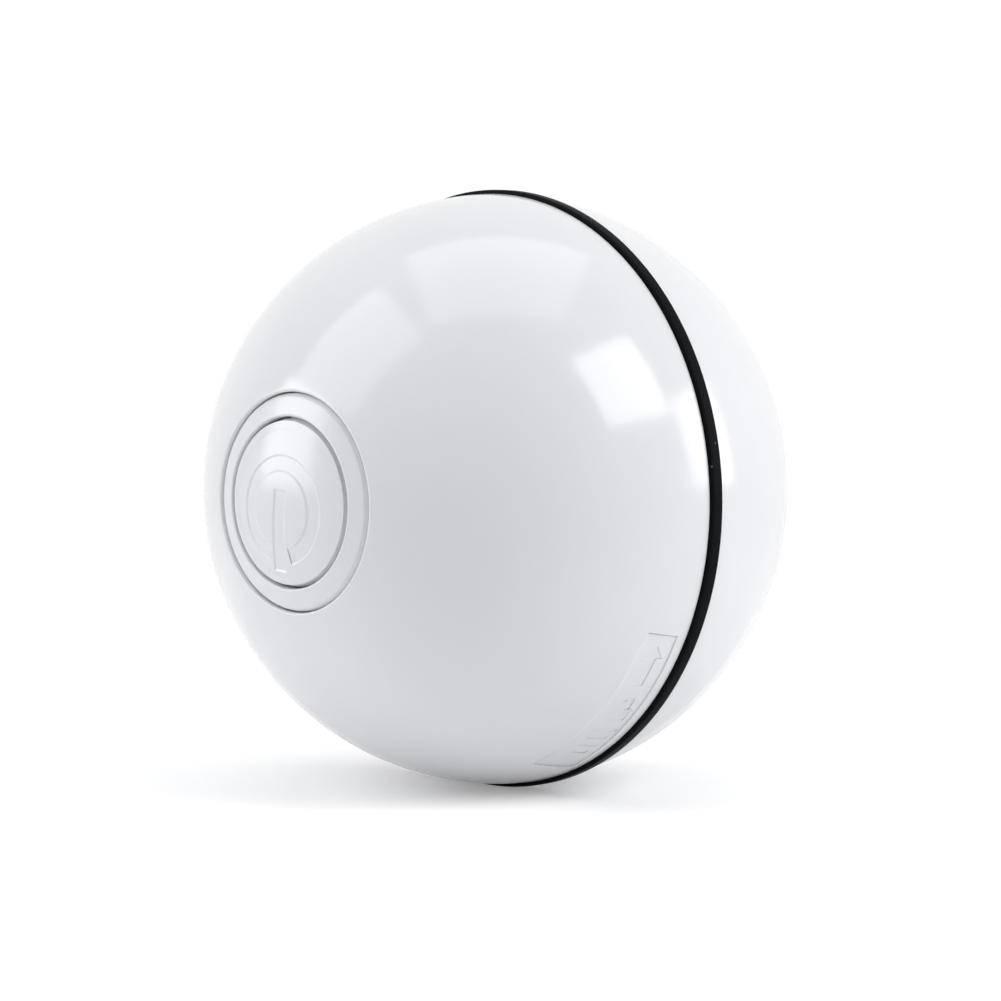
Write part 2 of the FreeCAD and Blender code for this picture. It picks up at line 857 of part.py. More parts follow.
def motor_body():
    """Flat-sided motor with its bearing nose at the front and two solder tabs at the rear."""
    half_w = motor_width / 2
    half_h = motor_height / 2
    can = rod(half_w, gear_plate_back_y, motor_end_y, *MOTOR_AXIS)
    can = can.common(block(motor_x - half_w, motor_x + half_w, gear_plate_back_y, motor_end_y,
                           motor_z - half_h, motor_z + half_h))
    nose = rod(motor_nose_radius, gear_plate_back_y - motor_nose, gear_plate_back_y, *MOTOR_AXIS)
    boss = rod(motor_nose_radius, motor_end_y, motor_end_y + motor_end_boss, *MOTOR_AXIS)
    body = can.fuse([nose, boss] + motor_tabs(motor_end_y, board_back_y + motor_tab_proud))
    for x, z in motor_screw_places():
        body = body.cut(rod(screw_radius, gear_plate_back_y - 1, gear_plate_back_y + motor_screw_depth, x, z))
    return body.cut(rod(motor_shaft_radius + shaft_fit, gear_plate_back_y - motor_nose - 1,
                        gear_plate_back_y + motor_shaft_depth + end_play, *MOTOR_AXIS))


def motor_screws():
    """Countersunk screws through the gear plate into the motor's face."""
    return [
        screw(x, z, gear_plate_front_y + screw_head, gear_plate_back_y + motor_screw_depth, True)
        for x, z in motor_screw_places()
    ]


def motor_shaft():
    """Front end of the motor's shaft."""
    return rod(motor_shaft_radius, far_level_y - motor_shaft_tip, gear_plate_back_y + motor_shaft_depth,
               *MOTOR_AXIS)


def motor_pinion():
    """Pinion on the motor's shaft, with a tooth towards the idler."""
    phase = bearing_of(MOTOR_AXIS, IDLER_AXIS)
    pinion = gear(motor_pinion_teeth, fine_module, far_level_y, far_level_y + far_level_width,
                  phase, motor_shaft_radius)
    return moved(pinion, *MOTOR_AXIS)


def idler_gear():
    """Double gear: the large one meets the motor's pinion and the small one drives the output gear."""
    bore = idler_axle_radius + shaft_fit
    big_phase = bearing_of(IDLER_AXIS, MOTOR_AXIS) + 180.0 / idler_big_teeth
    big = gear(idler_big_teeth, fine_module, far_level_y, far_level_y + far_level_width, big_phase, bore)
    small = gear(idler_small_teeth, fine_module, near_level_y, far_level_y + gear_join,
                 bearing_of(IDLER_AXIS, OUTPUT_AXIS), bore)
    return moved(big.fuse(small), *IDLER_AXIS)


def idler_axle():
    """Fixed pin between the front plate and the gear plate."""
    return rod(idler_axle_radius, front_plate_back_y - idler_axle_seat, gear_plate_back_y, *IDLER_AXIS)


def output_gear():
    """Gear on the output shaft, driven by the idler's small gear."""
    phase = bearing_of(OUTPUT_AXIS, IDLER_AXIS) + 180.0 / output_teeth
    wheel = gear(output_teeth, fine_module, near_level_y, near_level_y + near_level_width,
                 phase, output_shaft_radius)
    return moved(wheel, *OUTPUT_AXIS)


def output_shaft():
    """Steel shaft through the front plate that joins the output gear and the last pinion."""
    return rod(output_shaft_radius, ring_web_y + pinion_front_gap, gear_plate_back_y, *OUTPUT_AXIS)


def output_pinion():
    """Last pinion, which walks round inside the ring gear."""
    pinion = gear(drive_pinion_teeth, drive_module, ring_web_y + pinion_front_gap,
                  front_plate_y - pinion_back_gap, bearing_of((0, 0), OUTPUT_AXIS), output_shaft_radius)
    return moved(pinion, *OUTPUT_AXIS)


def battery():
    """Round rechargeable cell across the pod, with its raised contact."""
    across = V(1, 0, 0)
    start = -battery_length / 2
    can = Part.makeCylinder(battery_radius, battery_length, V(start, battery_y, battery_z), across)
    can = can.makeChamfer(battery_bevel, can.Edges)
    knob = Part.makeCylinder(battery_knob_radius, battery_knob, V(-start, battery_y, battery_z), across)
    return can.fuse(knob)


def cell_room(x0, x1):
    """Round room for the cell across the pod."""
    return Part.makeCylinder(battery_radius, x1 - x0, V(x0, battery_y, battery_z), V(1, 0, 0))


def battery_cradle():
    """Foam cradle between the counterweight and the cell."""
    half = battery_length / 2 - cradle_inset
    side = battery_radius - cradle_side
    pad = block(-half, half, battery_y - side, battery_y + side, weight_top_z, battery_z - cradle_drop)
    return pad.cut(cell_room(-half - 1, half + 1))


def battery_top_pad():
    """Foam strip between the cell and the motor."""
    x0 = motor_x - pad_length / 2
    x1 = motor_x + pad_length / 2
    pad = block(x0, x1, battery_y - pad_width / 2, battery_y + pad_width / 2,
                battery_z + pad_rise, motor_z - motor_height / 2)
    return pad.cut(cell_room(x0 - 1, x1 + 1))


def counterweight():
    """Steel block that fills the bottom of the pod's round wall."""
    drum = pod_zone(pod_bore - weight_fit, front_plate_back_y, frame_end_y)
    return drum.common(block(-pod_radius, pod_radius, front_plate_back_y + weight_front_gap,
                             frame_end_y - weight_end_gap, -pod_radius, weight_top_z))


def slot_bar(width, height, y0, y1, x, z):
    """Bar with round ends, level across the rolling axis."""
    half = (width - height) / 2
    body = block(x - half, x + half, y0, y1, z - height / 2, z + height / 2)
    return body.fuse([rod(height / 2, y0, y1, x - half, z), rod(height / 2, y0, y1, x + half, z)])


def pod_cover():
    """Rear cover: sloping rim, flat end with the port slot and lamp windows, pin boss and board pegs."""
    start = frame_end_y + cover_lap
    body = pod_zone(pod_radius, start, cover_end_y)
    body = body.cut(pod_zone(pod_bore, start, cover_inside_y))
    limit = pod_zone(pod_bore + pod_wall / 2, start, cover_end_y)
    adds = [rod(pin_boss_radius, pin_seat_y, pin_boss_end_y)]
    for angle in cover_post_angles:
        adds.append(post(cover_post_circle, angle, cover_post_radius, start, cover_end_y, limit))
    for angle in peg_angles:
        x, z = at(peg_circle, angle)
        adds.append(rod(peg_radius, board_back_y, cover_inside_y + joint_depth, x, z))
        adds.append(rod(peg_tip_radius, board_front_y - peg_tip, board_back_y + joint_depth, x, z))
    body = body.fuse(adds)
    cuts = [rod(pin_radius, pin_seat_y - 1, pin_boss_end_y + 1)]
    cuts.append(slot_bar(port_width + 2 * port_slot_gap, port_height + 2 * port_slot_gap,
                         cover_inside_y - joint_depth, cover_end_y + 1, port_x, port_z))
    for angle in lamp_angles:
        cuts.append(rod(lamp_radius + lamp_window_gap, cover_inside_y - joint_depth, cover_end_y + 1,
                        *at(lamp_circle, angle)))
    for angle in cover_post_angles:
        x, z = at(cover_post_circle, angle)
        cuts.append(screw_hole(x, z, cover_end_y - screw_head, start - 1))
    return body.cut(cuts).removeSplitter()


def pod_cover_screws():
    """Screws through the cover's posts into the frame's posts."""
    return [
        screw(*at(cover_post_circle, angle), cover_end_y - screw_head, frame_end_y - screw_bite)
        for angle in cover_post_angles
    ]


def circuit_board():
    """Round board behind the motor, with room for the port, the pegs and the motor's tabs."""
    y0 = board_front_y - 1
    y1 = board_back_y + 1
    cuts = [slot_bar(port_width + 2 * port_board_gap, port_height + 2 * port_board_gap, y0, y1,
                     port_x, port_z)]
    for angle in peg_angles:
        cuts.append(rod(peg_tip_radius, y0, y1, *at(peg_circle, angle)))
    return rod(board_radius, board_front_y, board_back_y).cut(cuts + motor_tabs(y0, y1))


def on_board(x, z, width, length, height):
    """Flat part on the board's rear face, centred on this place."""
    return block(x - width / 2, x + width / 2, board_back_y, board_back_y + height,
                 z - length / 2, z + length / 2)


def board_components():
    """Control chip, charging chip, coil and two capacitors on the board's rear face."""
    solids = [
        on_board(control_chip_x, control_chip_z, control_chip_side, control_chip_side, chip_height),
        on_board(charge_chip_x, charge_chip_z, charge_chip_side, charge_chip_side, chip_height),
        rod(coil_radius, board_back_y, board_back_y + coil_height, coil_x, coil_z),
    ]
    for side in (-1, 1):
        solids.append(on_board(capacitor_x + side * capacitor_pitch / 2, capacitor_z,
                               capacitor_width, capacitor_length, capacitor_height))
    return solids


def charging_port():
    """Charging socket: rounded metal shell with a tongue inside, open to the rear."""
    y1 = cover_end_y + port_proud
    y0 = y1 - port_depth
    shell = slot_bar(port_width, port_height, y0, y1, port_x, port_z)
    room = slot_bar(port_width - 2 * port_shell, port_height - 2 * port_shell, y0 + port_back, y1 + 1,
                    port_x, port_z)
    tongue = block(port_x - port_tongue_width / 2, port_x + port_tongue_width / 2,
                   y0 + port_back / 2, y1 - port_tongue_inset,
                   port_z - port_tongue / 2, port_z + port_tongue / 2)
    return shell.cut(room).fuse(tongue).removeSplitter()


def indicator_leds():
    """Two round lamps on the board, with bevelled ends in the cover's windows."""
    top = cover_end_y + lamp_proud
    lamp = lathe([
        (0, board_back_y), (lamp_radius, board_back_y), (lamp_radius, top - lamp_bevel),
        (lamp_radius - lamp_bevel, top), (0, top),
    ])
    return [moved(lamp, *at(lamp_circle, angle)) for angle in lamp_angles]


def switch_board_piece():
    """Small board on the axis, on the gear plate's front face."""
    half = switch_board_side / 2
    return block(-half, half, gear_plate_front_y - switch_board, gear_plate_front_y, -half, half)


def switch_base():
    """Body of the push switch, with a well for its stem."""
    half = switch_side / 2
    body = block(-half, half, switch_front_y, switch_front_y + switch_height, -half, half)
    floor = switch_front_y + switch_stem_seat + switch_travel + switch_well_gap
    return body.cut(rod(switch_stem_radius + switch_bore_gap, switch_front_y - 1, floor))


def switch_stem():
    """Round stem of the push switch."""
    return rod(switch_stem_radius, switch_stem_y, switch_front_y + switch_stem_seat)


def wire_along(points, bend):
    """Round wire along straight runs joined by tangent arcs."""
    ends = [V(*p) for p in points]
    edges = []
    start = ends[0]
    for before, corner, after in zip(ends, ends[1:], ends[2:]):
        way_in = (corner - before).normalize()
        way_out = (after - corner).normalize()
        turn = way_in.getAngle(way_out)
        back = bend * math.tan(turn / 2)
        a = corner - way_in * back
        b = corner + way_out * back
        inward = (way_out - way_in).normalize()
        middle = corner + inward * (bend / math.cos(turn / 2) - bend)
        edges.append(Part.LineSegment(start, a).toShape())
        edges.append(Part.Arc(a, middle, b).toShape())
        start = b
    edges.append(Part.LineSegment(start, ends[-1]).toShape())
    path = Part.Wire(edges)
    section = Part.Wire(Part.makeCircle(wire_radius, ends[0], ends[1] - ends[0]))
    return path.makePipeShell([section], True, False)


def battery_leads():
    """Wire from each end of the cell back to the board."""
    reach = battery_length / 2 + battery_knob + wire_run
    leads = []
    for side in (-1, 1):
        start = side * (battery_length / 2 + (battery_knob if side > 0 else 0.0))
        leads.append(wire_along([
            (start, battery_y, battery_z), (side * reach, battery_y, battery_z),
            (side * reach, board_front_y, battery_z),
        ], wire_bend))
    return leads


def switch_leads():
    """Wire from the switch board through the gear plate to the main board."""
    level = gear_plate_front_y - switch_board / 2
    return [wire_along([
        (-switch_board_side / 2, level, switch_lead_z), (switch_lead_x, level, switch_lead_z),
        (switch_lead_x, board_front_y, switch_lead_z),
    ], 2 * wire_radius)]


def pivot_pin():
    """Steel pin on the pod's rear, which turns in the rear bush."""
    tip = pin_radius - pin_bevel
    return lathe([
        (0, pin_seat_y), (pin_radius, pin_seat_y), (pin_radius, pin_end_y - pin_bevel), (tip, pin_end_y),
        (0, pin_end_y),
    ])


def rear_skin():
    """Wall of the rear half with the counterbore that fits over the collar and the ring's bead."""
    rim_y = half_ring + seam_gap
    outer_rim = cap_radius(rim_y, shell_radius)
    bore = collar_radius + collar_fit
    bore_end = collar_reach + collar_end_gap
    bead_r = collar_radius + bead_height + 2 * bead_fit
    bead_y = bead_width / 2 + bead_fit
    ledge = cap_radius(bore_end, cavity_radius)
    edges = [cap_arc(outer_rim, 0, shell_radius, 1)]
    edges += cap_chords(ledge, 0, cavity_radius, 1)
    edges += chain([(0, cap_y(0, cavity_radius, 1)), (0, cap_y(0, shell_radius, 1))])
    edges += chain([
        (ledge, bore_end), (bore, bore_end), (bore, bead_y), (bead_r, bead_y), (bead_r, rim_y),
        (outer_rim, rim_y),
    ])
    return spun(edges)


def bayonet_grooves():
    """Entry slots and turning grooves for the front collar's lugs."""
    cuts = []
    inner = collar_radius - 1
    outer = collar_radius + lug_height + lug_clearance
    lug_y = half_ring + lug_inset
    y0 = lug_y - lug_clearance
    y1 = lug_y + lug_thickness + lug_clearance
    slot = lug_angle + 2 * lug_side_angle
    for angle in lug_angles():
        cuts.append(sector(inner, outer, -1, y1, angle, slot))
        cuts.append(sector(inner, outer, y0, y1, angle + twist_angle / 2, slot + twist_angle))
    return cuts


def rear_shell():
    """Far half: wall with bayonet grooves, and a ribbed hub for the rear bush."""
    top = cap_y(0, cavity_radius, 1) + shell_wall / 2
    adds = [rod(rear_hub_radius, rear_hub_y, top)]
    for i in range(rear_rib_count):
        rib = block(rear_hub_radius - joint_depth, cavity_radius, rear_hub_y + rear_rib_drop, top,
                    -shell_rib / 2, shell_rib / 2)
        adds.append(turned(rib.common(rib_limit(1)), i * 360.0 / rear_rib_count))
    body = rear_skin().fuse(adds)
    body = body.cut([rod(rear_bush_radius + running_fit, rear_hub_y - 1, rear_hub_bore_end_y)]
                    + bayonet_grooves())
    return body.removeSplitter()


def rear_bush():
    """Floating bush between the pod's pin and the rear hub."""
    return tube(rear_bush_radius, pin_radius + running_fit, rear_bush_y, rear_bush_end_y)


def group(solids):
    """Separate like pieces under one name."""
    return Part.makeCompound(solids)


def pieces():
    """Every piece of the ball by name."""
    return {
        "front_shell": front_shell(),
        "rubber_ring": rubber_ring(),
        "button_bezel": button_bezel(),
        "ring_gear": ring_gear(),
        "ring_gear_screws": group(ring_gear_screws()),
        "thrust_washer": thrust_washer(),
        "hub_clip": hub_clip(),
        "button_cap": button_cap(),
        "button_boot": button_boot(),
        "button_clip": button_clip(),
        "pod_frame": pod_frame(),
        "front_bush": front_bush(),
        "gear_plate": gear_plate_piece(),
        "gear_plate_screws": group(gear_plate_screws()),
        "motor": motor_body(),
        "motor_screws": group(motor_screws()),
        "motor_shaft": motor_shaft(),
        "motor_pinion": motor_pinion(),
        "idler_gear": idler_gear(),
        "idler_axle": idler_axle(),
        "output_gear": output_gear(),
        "output_shaft": output_shaft(),
        "output_pinion": output_pinion(),
        "battery": battery(),
        "battery_cradle": battery_cradle(),
        "battery_top_pad": battery_top_pad(),
        "battery_leads": group(battery_leads()),
        "counterweight": counterweight(),
        "pod_cover": pod_cover(),
        "pod_cover_screws": group(pod_cover_screws()),
        "circuit_board": circuit_board(),
        "board_components": group(board_components()),
        "charging_port": charging_port(),
        "indicator_leds": group(indicator_leds()),
        "switch_board": switch_board_piece(),
        "switch_base": switch_base(),
        "switch_stem": switch_stem(),
        "switch_leads": group(switch_leads()),
        "pivot_pin": pivot_pin(),
        "rear_shell": rear_shell(),
        "rear_bush": rear_bush(),
    }


def main():
    os.makedirs("parts", exist_ok=True)
    for name, shape in pieces().items():
        shape.exportStep(f"parts/{name}.step")
        print(f"{name}: {len(shape.Solids)} solids, {shape.Volume:.1f} mm3, valid {shape.isValid()}")


main()
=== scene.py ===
"""Looks of a self-rolling cat ball: glossy halves, a tread ring, the push button and the pod inside."""

import json
import math

import bmesh
import bpy
from mathutils import Matrix, Vector


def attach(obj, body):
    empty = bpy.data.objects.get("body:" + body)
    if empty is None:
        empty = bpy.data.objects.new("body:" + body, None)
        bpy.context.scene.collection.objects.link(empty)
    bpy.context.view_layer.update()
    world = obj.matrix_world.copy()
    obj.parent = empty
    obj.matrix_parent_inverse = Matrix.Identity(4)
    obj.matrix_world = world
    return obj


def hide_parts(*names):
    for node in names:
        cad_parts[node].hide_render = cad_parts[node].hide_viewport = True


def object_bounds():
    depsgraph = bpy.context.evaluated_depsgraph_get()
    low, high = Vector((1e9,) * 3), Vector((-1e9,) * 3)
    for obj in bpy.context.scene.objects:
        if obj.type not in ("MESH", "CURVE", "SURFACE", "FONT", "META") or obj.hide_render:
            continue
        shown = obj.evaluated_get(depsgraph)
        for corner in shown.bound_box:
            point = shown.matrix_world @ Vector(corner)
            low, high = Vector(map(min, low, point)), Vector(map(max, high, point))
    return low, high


bl_info = {
    "name": "Self-rolling cat ball",
    "version": (1, 0, 0),
    "blender": (4, 5, 0),
    "location": "3D View > Sidebar > Cat Ball",
    "description": "Dresses the cat ball's frame with its visible pieces, finishes and studio",
    "category": "Add Mesh",
}

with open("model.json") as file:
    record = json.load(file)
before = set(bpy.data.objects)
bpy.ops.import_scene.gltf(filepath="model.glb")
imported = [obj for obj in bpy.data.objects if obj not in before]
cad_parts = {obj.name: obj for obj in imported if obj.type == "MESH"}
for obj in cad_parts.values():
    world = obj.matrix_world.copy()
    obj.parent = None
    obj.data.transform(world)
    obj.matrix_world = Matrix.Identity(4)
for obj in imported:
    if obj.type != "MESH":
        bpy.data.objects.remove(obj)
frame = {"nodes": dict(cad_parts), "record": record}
cad_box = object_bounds()

MM = 0.001
TURN_STEPS = 288
SMOOTH_ANGLE = math.radians(35)
CRISP_ANGLE = math.radians(15)


# Sizes and colours that a user can change

def length(name, default, description):
    """Length setting in metres, given here in millimetres."""
    return bpy.props.FloatProperty(
        name=name, description=description, default=default * MM, unit="LENGTH", precision=5,
    )


def turn(name, default, description):
    """Angle setting, given here in degrees."""
    return bpy.props.FloatProperty(
        name=name, description=description, default=math.radians(default), unit="ROTATION",
    )


def colour(name, default, description):
    """Colour setting in linear red, green and blue."""
    return bpy.props.FloatVectorProperty(
        name=name, description=description, default=default, size=3, min=0, max=1, subtype="COLOR",
    )


class BallSizes(bpy.types.PropertyGroup):
    """Sizes of the outer pieces."""

    shell_radius: length("Shell radius", 31.6, "Radius of each half's round face")
    pole_flat: length("Pole flat", 0.5, "How much each half is pushed in towards the ring")
    cavity_radius: length("Cavity radius", 29.1, "Radius of each half's inner face")
    ring_radius: length("Ring radius", 32.0, "Radius of the tread ring")
    ring_width: length("Ring width", 1.5, "Width of the tread ring between the halves")
    recess_radius: length("Recess radius", 11.25, "Radius of the recess round the button")
    button_radius: length("Button radius", 8.65, "Radius of the push button")
    button_drop: length("Button drop", 0.4, "How far the button lies under the ball's face")
    land_drop: length("Land drop", 0.25, "How far the land round the button lies under the ball's face")
    sign_depth: length("Sign depth", 0.1, "Depth of the sign in the button")
    sign_line: length("Sign line", 1.8, "Width of the button sign's circle line")
    sign_turn: turn("Sign turn", 6.0, "How far the button's sign is turned round the rolling axis")
    label_depth: length("Label depth", 0.15, "Depth of the opening label's field, and of the marks in it")
    label_start: turn("Label start", -25.0, "Angle of the label's upper end round the rolling axis")
    label_end: turn("Label end", -65.0, "Angle of the label's lower end round the rolling axis")


class BallColours(bpy.types.PropertyGroup):
    """Colours of the finishes."""

    shell: colour("Shell", (0.8, 0.808, 0.83), "White of both halves, the land and the button")
    rubber: colour("Rubber", (0.006, 0.0065, 0.0075), "Black of the tread ring")
    pod: colour("Pod", (0.045, 0.047, 0.052), "Plastic of the pod and its cover")
    floor: colour("Floor", (0.95, 0.95, 0.955), "White of the studio floor")


def sizes():
    """The ball's size settings."""
    return bpy.context.scene.cat_ball_sizes


def colours():
    """The ball's colour settings."""
    return bpy.context.scene.cat_ball_colours


# Meshes

def point(bm, r, y):
    """Point of a profile, at this radius and height along the rolling axis."""
    return bm.verts.new((r, y, 0))


def run(bm, start, *stations):
    """Straight profile runs from a point through radius and height pairs, given back as its last point."""
    for r, y in stations:
        end = point(bm, r, y)
        bm.edges.new((start, end))
        start = end
    return start


def cap_height(r, sphere, side):
    """Height along the rolling axis of a half's face at this radius."""
    return side * (math.sqrt(sphere**2 - r**2) - sizes().pole_flat)


def cap_reach(y, sphere):
    """Radius of a half's face at this height along the rolling axis."""
    return math.sqrt(sphere**2 - (abs(y) + sizes().pole_flat) ** 2)


def cap_run(bm, start, r, sphere, side, steps):
    """Round profile run along a half's face from a point to this radius, given back as its last point."""
    flat = -side * sizes().pole_flat
    begin = math.atan2(start.co.y - flat, start.co.x)
    end = math.atan2(cap_height(r, sphere, side) - flat, r)
    made = bmesh.ops.spin(
        bm, geom=[start], cent=(0, flat, 0), axis=(0, 0, 1), angle=end - begin, steps=steps,
    )
    return next(g for g in made["geom_last"] if isinstance(g, bmesh.types.BMVert))


def join_run(bm, a, b):
    """Closes a profile between two of its points."""
    bm.edges.new((a, b))


def revolve(bm, steps=TURN_STEPS):
    """Turns the profile in a mesh round the rolling axis into a closed body."""
    bmesh.ops.spin(
        bm, geom=bm.verts[:] + bm.edges[:], cent=(0, 0, 0), axis=(0, -1, 0), angle=math.tau, steps=steps,
        use_merge=True,
    )
    bmesh.ops.remove_doubles(bm, verts=bm.verts, dist=1e-7)
    bmesh.ops.recalc_face_normals(bm, faces=bm.faces)


def round_rims(bm, stations, offset, segments=4):
    """Rounds the circular edges at these radius and height pairs."""
    rims = []
    for edge in bm.edges:
        ends = [(math.hypot(v.co.x, v.co.z), v.co.y) for v in edge.verts]
        for r, y in stations:
            if all(abs(end[0] - r) < 1e-6 and abs(end[1] - y) < 1e-6 for end in ends):
                rims.append(edge)
    bmesh.ops.bevel(
        bm, geom=rims, affect="EDGES", offset=offset, segments=segments, profile=0.5, material=-1,
    )


def finished(name, bm, smooth=SMOOTH_ANGLE):
    """New object from a mesh, smooth up to its sharp edges."""
    mesh = bpy.data.meshes.new(name)
    bm.to_mesh(mesh)
    bm.free()
    obj = bpy.data.objects.new(name, mesh)
    bpy.context.scene.collection.objects.link(obj)
    smoothed(mesh, smooth)
    return obj


def smoothed(mesh, smooth=SMOOTH_ANGLE):
    """Shades a mesh smooth, apart from edges over the sharp angle."""
    mesh.shade_smooth() if smooth else mesh.shade_flat()
    if smooth:
        mesh.set_sharp_from_angle(angle=smooth)


def joined(target, pieces, operation, smooth=SMOOTH_ANGLE):
    """Adds or cuts closed pieces, and shades the result."""
    group = bpy.data.collections.new("operands")
    bpy.context.scene.collection.children.link(group)
    for piece in pieces:
        group.objects.link(piece)
    modifier = target.modifiers.new("join", "BOOLEAN")
    modifier.operation = operation
    modifier.operand_type = "COLLECTION"
    modifier.collection = group
    modifier.solver = "MANIFOLD"
    bpy.context.view_layer.update()
    ready = target.evaluated_get(bpy.context.evaluated_depsgraph_get())
    mesh = bpy.data.meshes.new_from_object(ready)
    target.modifiers.clear()
    target.data = mesh
    mesh.name = target.name
    for piece in pieces:
        bpy.data.objects.remove(piece)
    bpy.data.collections.remove(group)
    smoothed(mesh, smooth)
    return target


def swept(bm, middle, width, steps=24):
    """Turns a closed profile round the rolling axis into a piece of a ring, from +X towards +Z."""
    face = bmesh.ops.contextual_create(bm, geom=bm.edges[:])["faces"]
    bmesh.ops.rotate(bm, verts=bm.verts, cent=(0, 0, 0), matrix=Matrix.Rotation(width / 2 - middle, 3, "Y"))
    bmesh.ops.spin(bm, geom=face, cent=(0, 0, 0), axis=(0, -1, 0), angle=width, steps=steps)
    bmesh.ops.recalc_face_normals(bm, faces=bm.faces)
    return finished("sector", bm, None)


def sector(inner, outer, y0, y1, middle, width):
    """Closed piece of a sleeve round the rolling axis."""
    bm = bmesh.new()
    corner = point(bm, inner, y0)
    last = run(bm, corner, (outer, y0), (outer, y1), (inner, y1))
    join_run(bm, last, corner)
    return swept(bm, middle, width)


def rod(radius, y0, y1, x=0.0, z=0.0, segments=48):
    """Closed round bar along the rolling axis."""
    bm = bmesh.new()
    place = Matrix.Translation((x, (y0 + y1) / 2, z)) @ Matrix.Rotation(math.pi / 2, 4, "X")
    bmesh.ops.create_cone(
        bm, cap_ends=True, segments=segments, radius1=radius, radius2=radius, depth=y1 - y0, matrix=place,
    )
    return finished("rod", bm, None)


# Finishes

def node(tree, kind, inputs=(), **settings):
    """New shader node with its settings, constant inputs and links."""
    made = tree.nodes.new(kind)
    for key, value in settings.items():
        setattr(made, key, value)
    for key, value in dict(inputs).items():
        if isinstance(value, bpy.types.NodeSocket):
            tree.links.new(value, made.inputs[key])
        else:
            made.inputs[key].default_value = value
    return made


def ramp(tree, factor, *stops):
    """Colour ramp through these place and grey or colour stops."""
    made = node(tree, "ShaderNodeValToRGB", {"Fac": factor})
    elements = made.color_ramp.elements
    while len(elements) < len(stops):
        elements.new(0.5)
    for element, (place, value) in zip(elements, stops):
        element.position = place
        element.color = (*value, 1) if hasattr(value, "__len__") else (value, value, value, 1)
    return made.outputs["Color"]


def new_finish(name):
    """The frame's material of this name, emptied to its shader, and the pattern coordinates of the piece."""
    material = bpy.data.materials.get(name) or bpy.data.materials.new(name)
    material.use_nodes = True
    tree = material.node_tree
    tree.nodes.clear()
    shader = node(tree, "ShaderNodeBsdfPrincipled")
    node(tree, "ShaderNodeOutputMaterial", {"Surface": shader.outputs[0]})
    where = node(tree, "ShaderNodeTexCoord").outputs["Object"]
    place = node(tree, "ShaderNodeMapping", {"Vector": where}).outputs["Vector"]
    return material, tree, shader, place


def noise(tree, place, per_metre, detail=3.0, rough=0.5):
    """Noise of this many cells per metre."""
    return node(
        tree, "ShaderNodeTexNoise",
        {"Vector": place, "Scale": per_metre, "Detail": detail, "Roughness": rough},
    ).outputs["Fac"]


def shade(tree, shader, tone, low, high, tint):
    """Base colour that drifts between two shares of a tint along a tone."""
    dark = tuple(c * low for c in tint)
    light = tuple(min(c * high, 1) for c in tint)
    tree.links.new(ramp(tree, tone, (0.3, dark), (0.7, light)), shader.inputs["Base Color"])


def grain(tree, shader, height, distance):
    """Bump of this depth in metres."""
    bump = node(tree, "ShaderNodeBump", {"Height": height, "Distance": distance, "Strength": 1.0})
    tree.links.new(bump.outputs["Normal"], shader.inputs["Normal"])


def drift_gloss(tree, shader, tone, gloss, spread):
    """Roughness that drifts round a value along a tone."""
    drift = ramp(tree, tone, (0.3, gloss - spread / 2), (0.7, gloss + spread / 2))
    tree.links.new(drift, shader.inputs["Roughness"])


def plastic(name, tint, gloss, spread=0.05, texture=2500, depth=2e-6):
    """Moulded plastic: faint drift in colour and gloss, and its mould's fine texture."""
    material, tree, shader, place = new_finish(name)
    shade(tree, shader, noise(tree, place, 60), 0.985, 1.01, tint)
    drift_gloss(tree, shader, noise(tree, place, 220, 4), gloss, spread)
    grain(tree, shader, noise(tree, place, texture, 2), depth)
    shader.inputs["IOR"].default_value = 1.5
    return material


def metal(name, tint, gloss, spread=0.12, along=None):
    """Metal with drift in its gloss, and drawn or turned marks along an axis."""
    material, tree, shader, place = new_finish(name)
    stretch = [900, 900, 900]
    if along is not None:
        stretch[along] = 40
    lines = node(tree, "ShaderNodeMapping", {"Vector": place, "Scale": stretch}).outputs["Vector"]
    marks = noise(tree, lines, 4, 3)
    shade(tree, shader, marks, 0.9, 1.06, tint)
    drift_gloss(tree, shader, marks, gloss, spread)
    grain(tree, shader, marks, 2e-6)
    shader.inputs["Metallic"].default_value = 1
    return material


def soft(name, tint, gloss=0.8, cells=1800, depth=2e-5):
    """Foam, rubber or silicone with an open or pebbled face."""
    material, tree, shader, place = new_finish(name)
    pores = node(tree, "ShaderNodeTexVoronoi", {"Vector": place, "Scale": cells}).outputs["Distance"]
    shade(tree, shader, pores, 0.8, 1.1, tint)
    tree.links.new(ramp(tree, pores, (0.2, gloss - 0.08), (0.8, min(gloss + 0.08, 1))),
                   shader.inputs["Roughness"])
    grain(tree, shader, pores, depth)
    return material


DUST_COLOUR = (0.16, 0.165, 0.17)


def tread_rubber():
    """Rubber of the tread ring: dull black with fine pitting and clumps of dust specks."""
    material, tree, shader, place = new_finish("tread_rubber")
    tint = tuple(colours().rubber)
    pits = noise(tree, place, 3500, 4, 0.6)
    specks = node(tree, "ShaderNodeTexVoronoi", {"Vector": place, "Scale": 900}).outputs["Distance"]
    clumps = noise(tree, place, 260, 2)
    dust = node(
        tree, "ShaderNodeMath",
        {0: ramp(tree, specks, (0.0, 1), (0.13, 0)), 1: ramp(tree, clumps, (0.56, 0), (0.66, 1))},
        operation="MULTIPLY",
    ).outputs[0]
    base = ramp(tree, pits, (0.3, tuple(c * 0.8 for c in tint)), (0.7, tuple(c * 1.35 for c in tint)))
    mix = node(
        tree, "ShaderNodeMix", {"Factor": dust, "A": base, "B": (*DUST_COLOUR, 1)}, data_type="RGBA",
    )
    tree.links.new(mix.outputs["Result"], shader.inputs["Base Color"])
    drift_gloss(tree, shader, pits, 0.43, 0.14)
    shader.inputs["Specular IOR Level"].default_value = 0.02
    grain(tree, shader, pits, 1.2e-5)
    return material


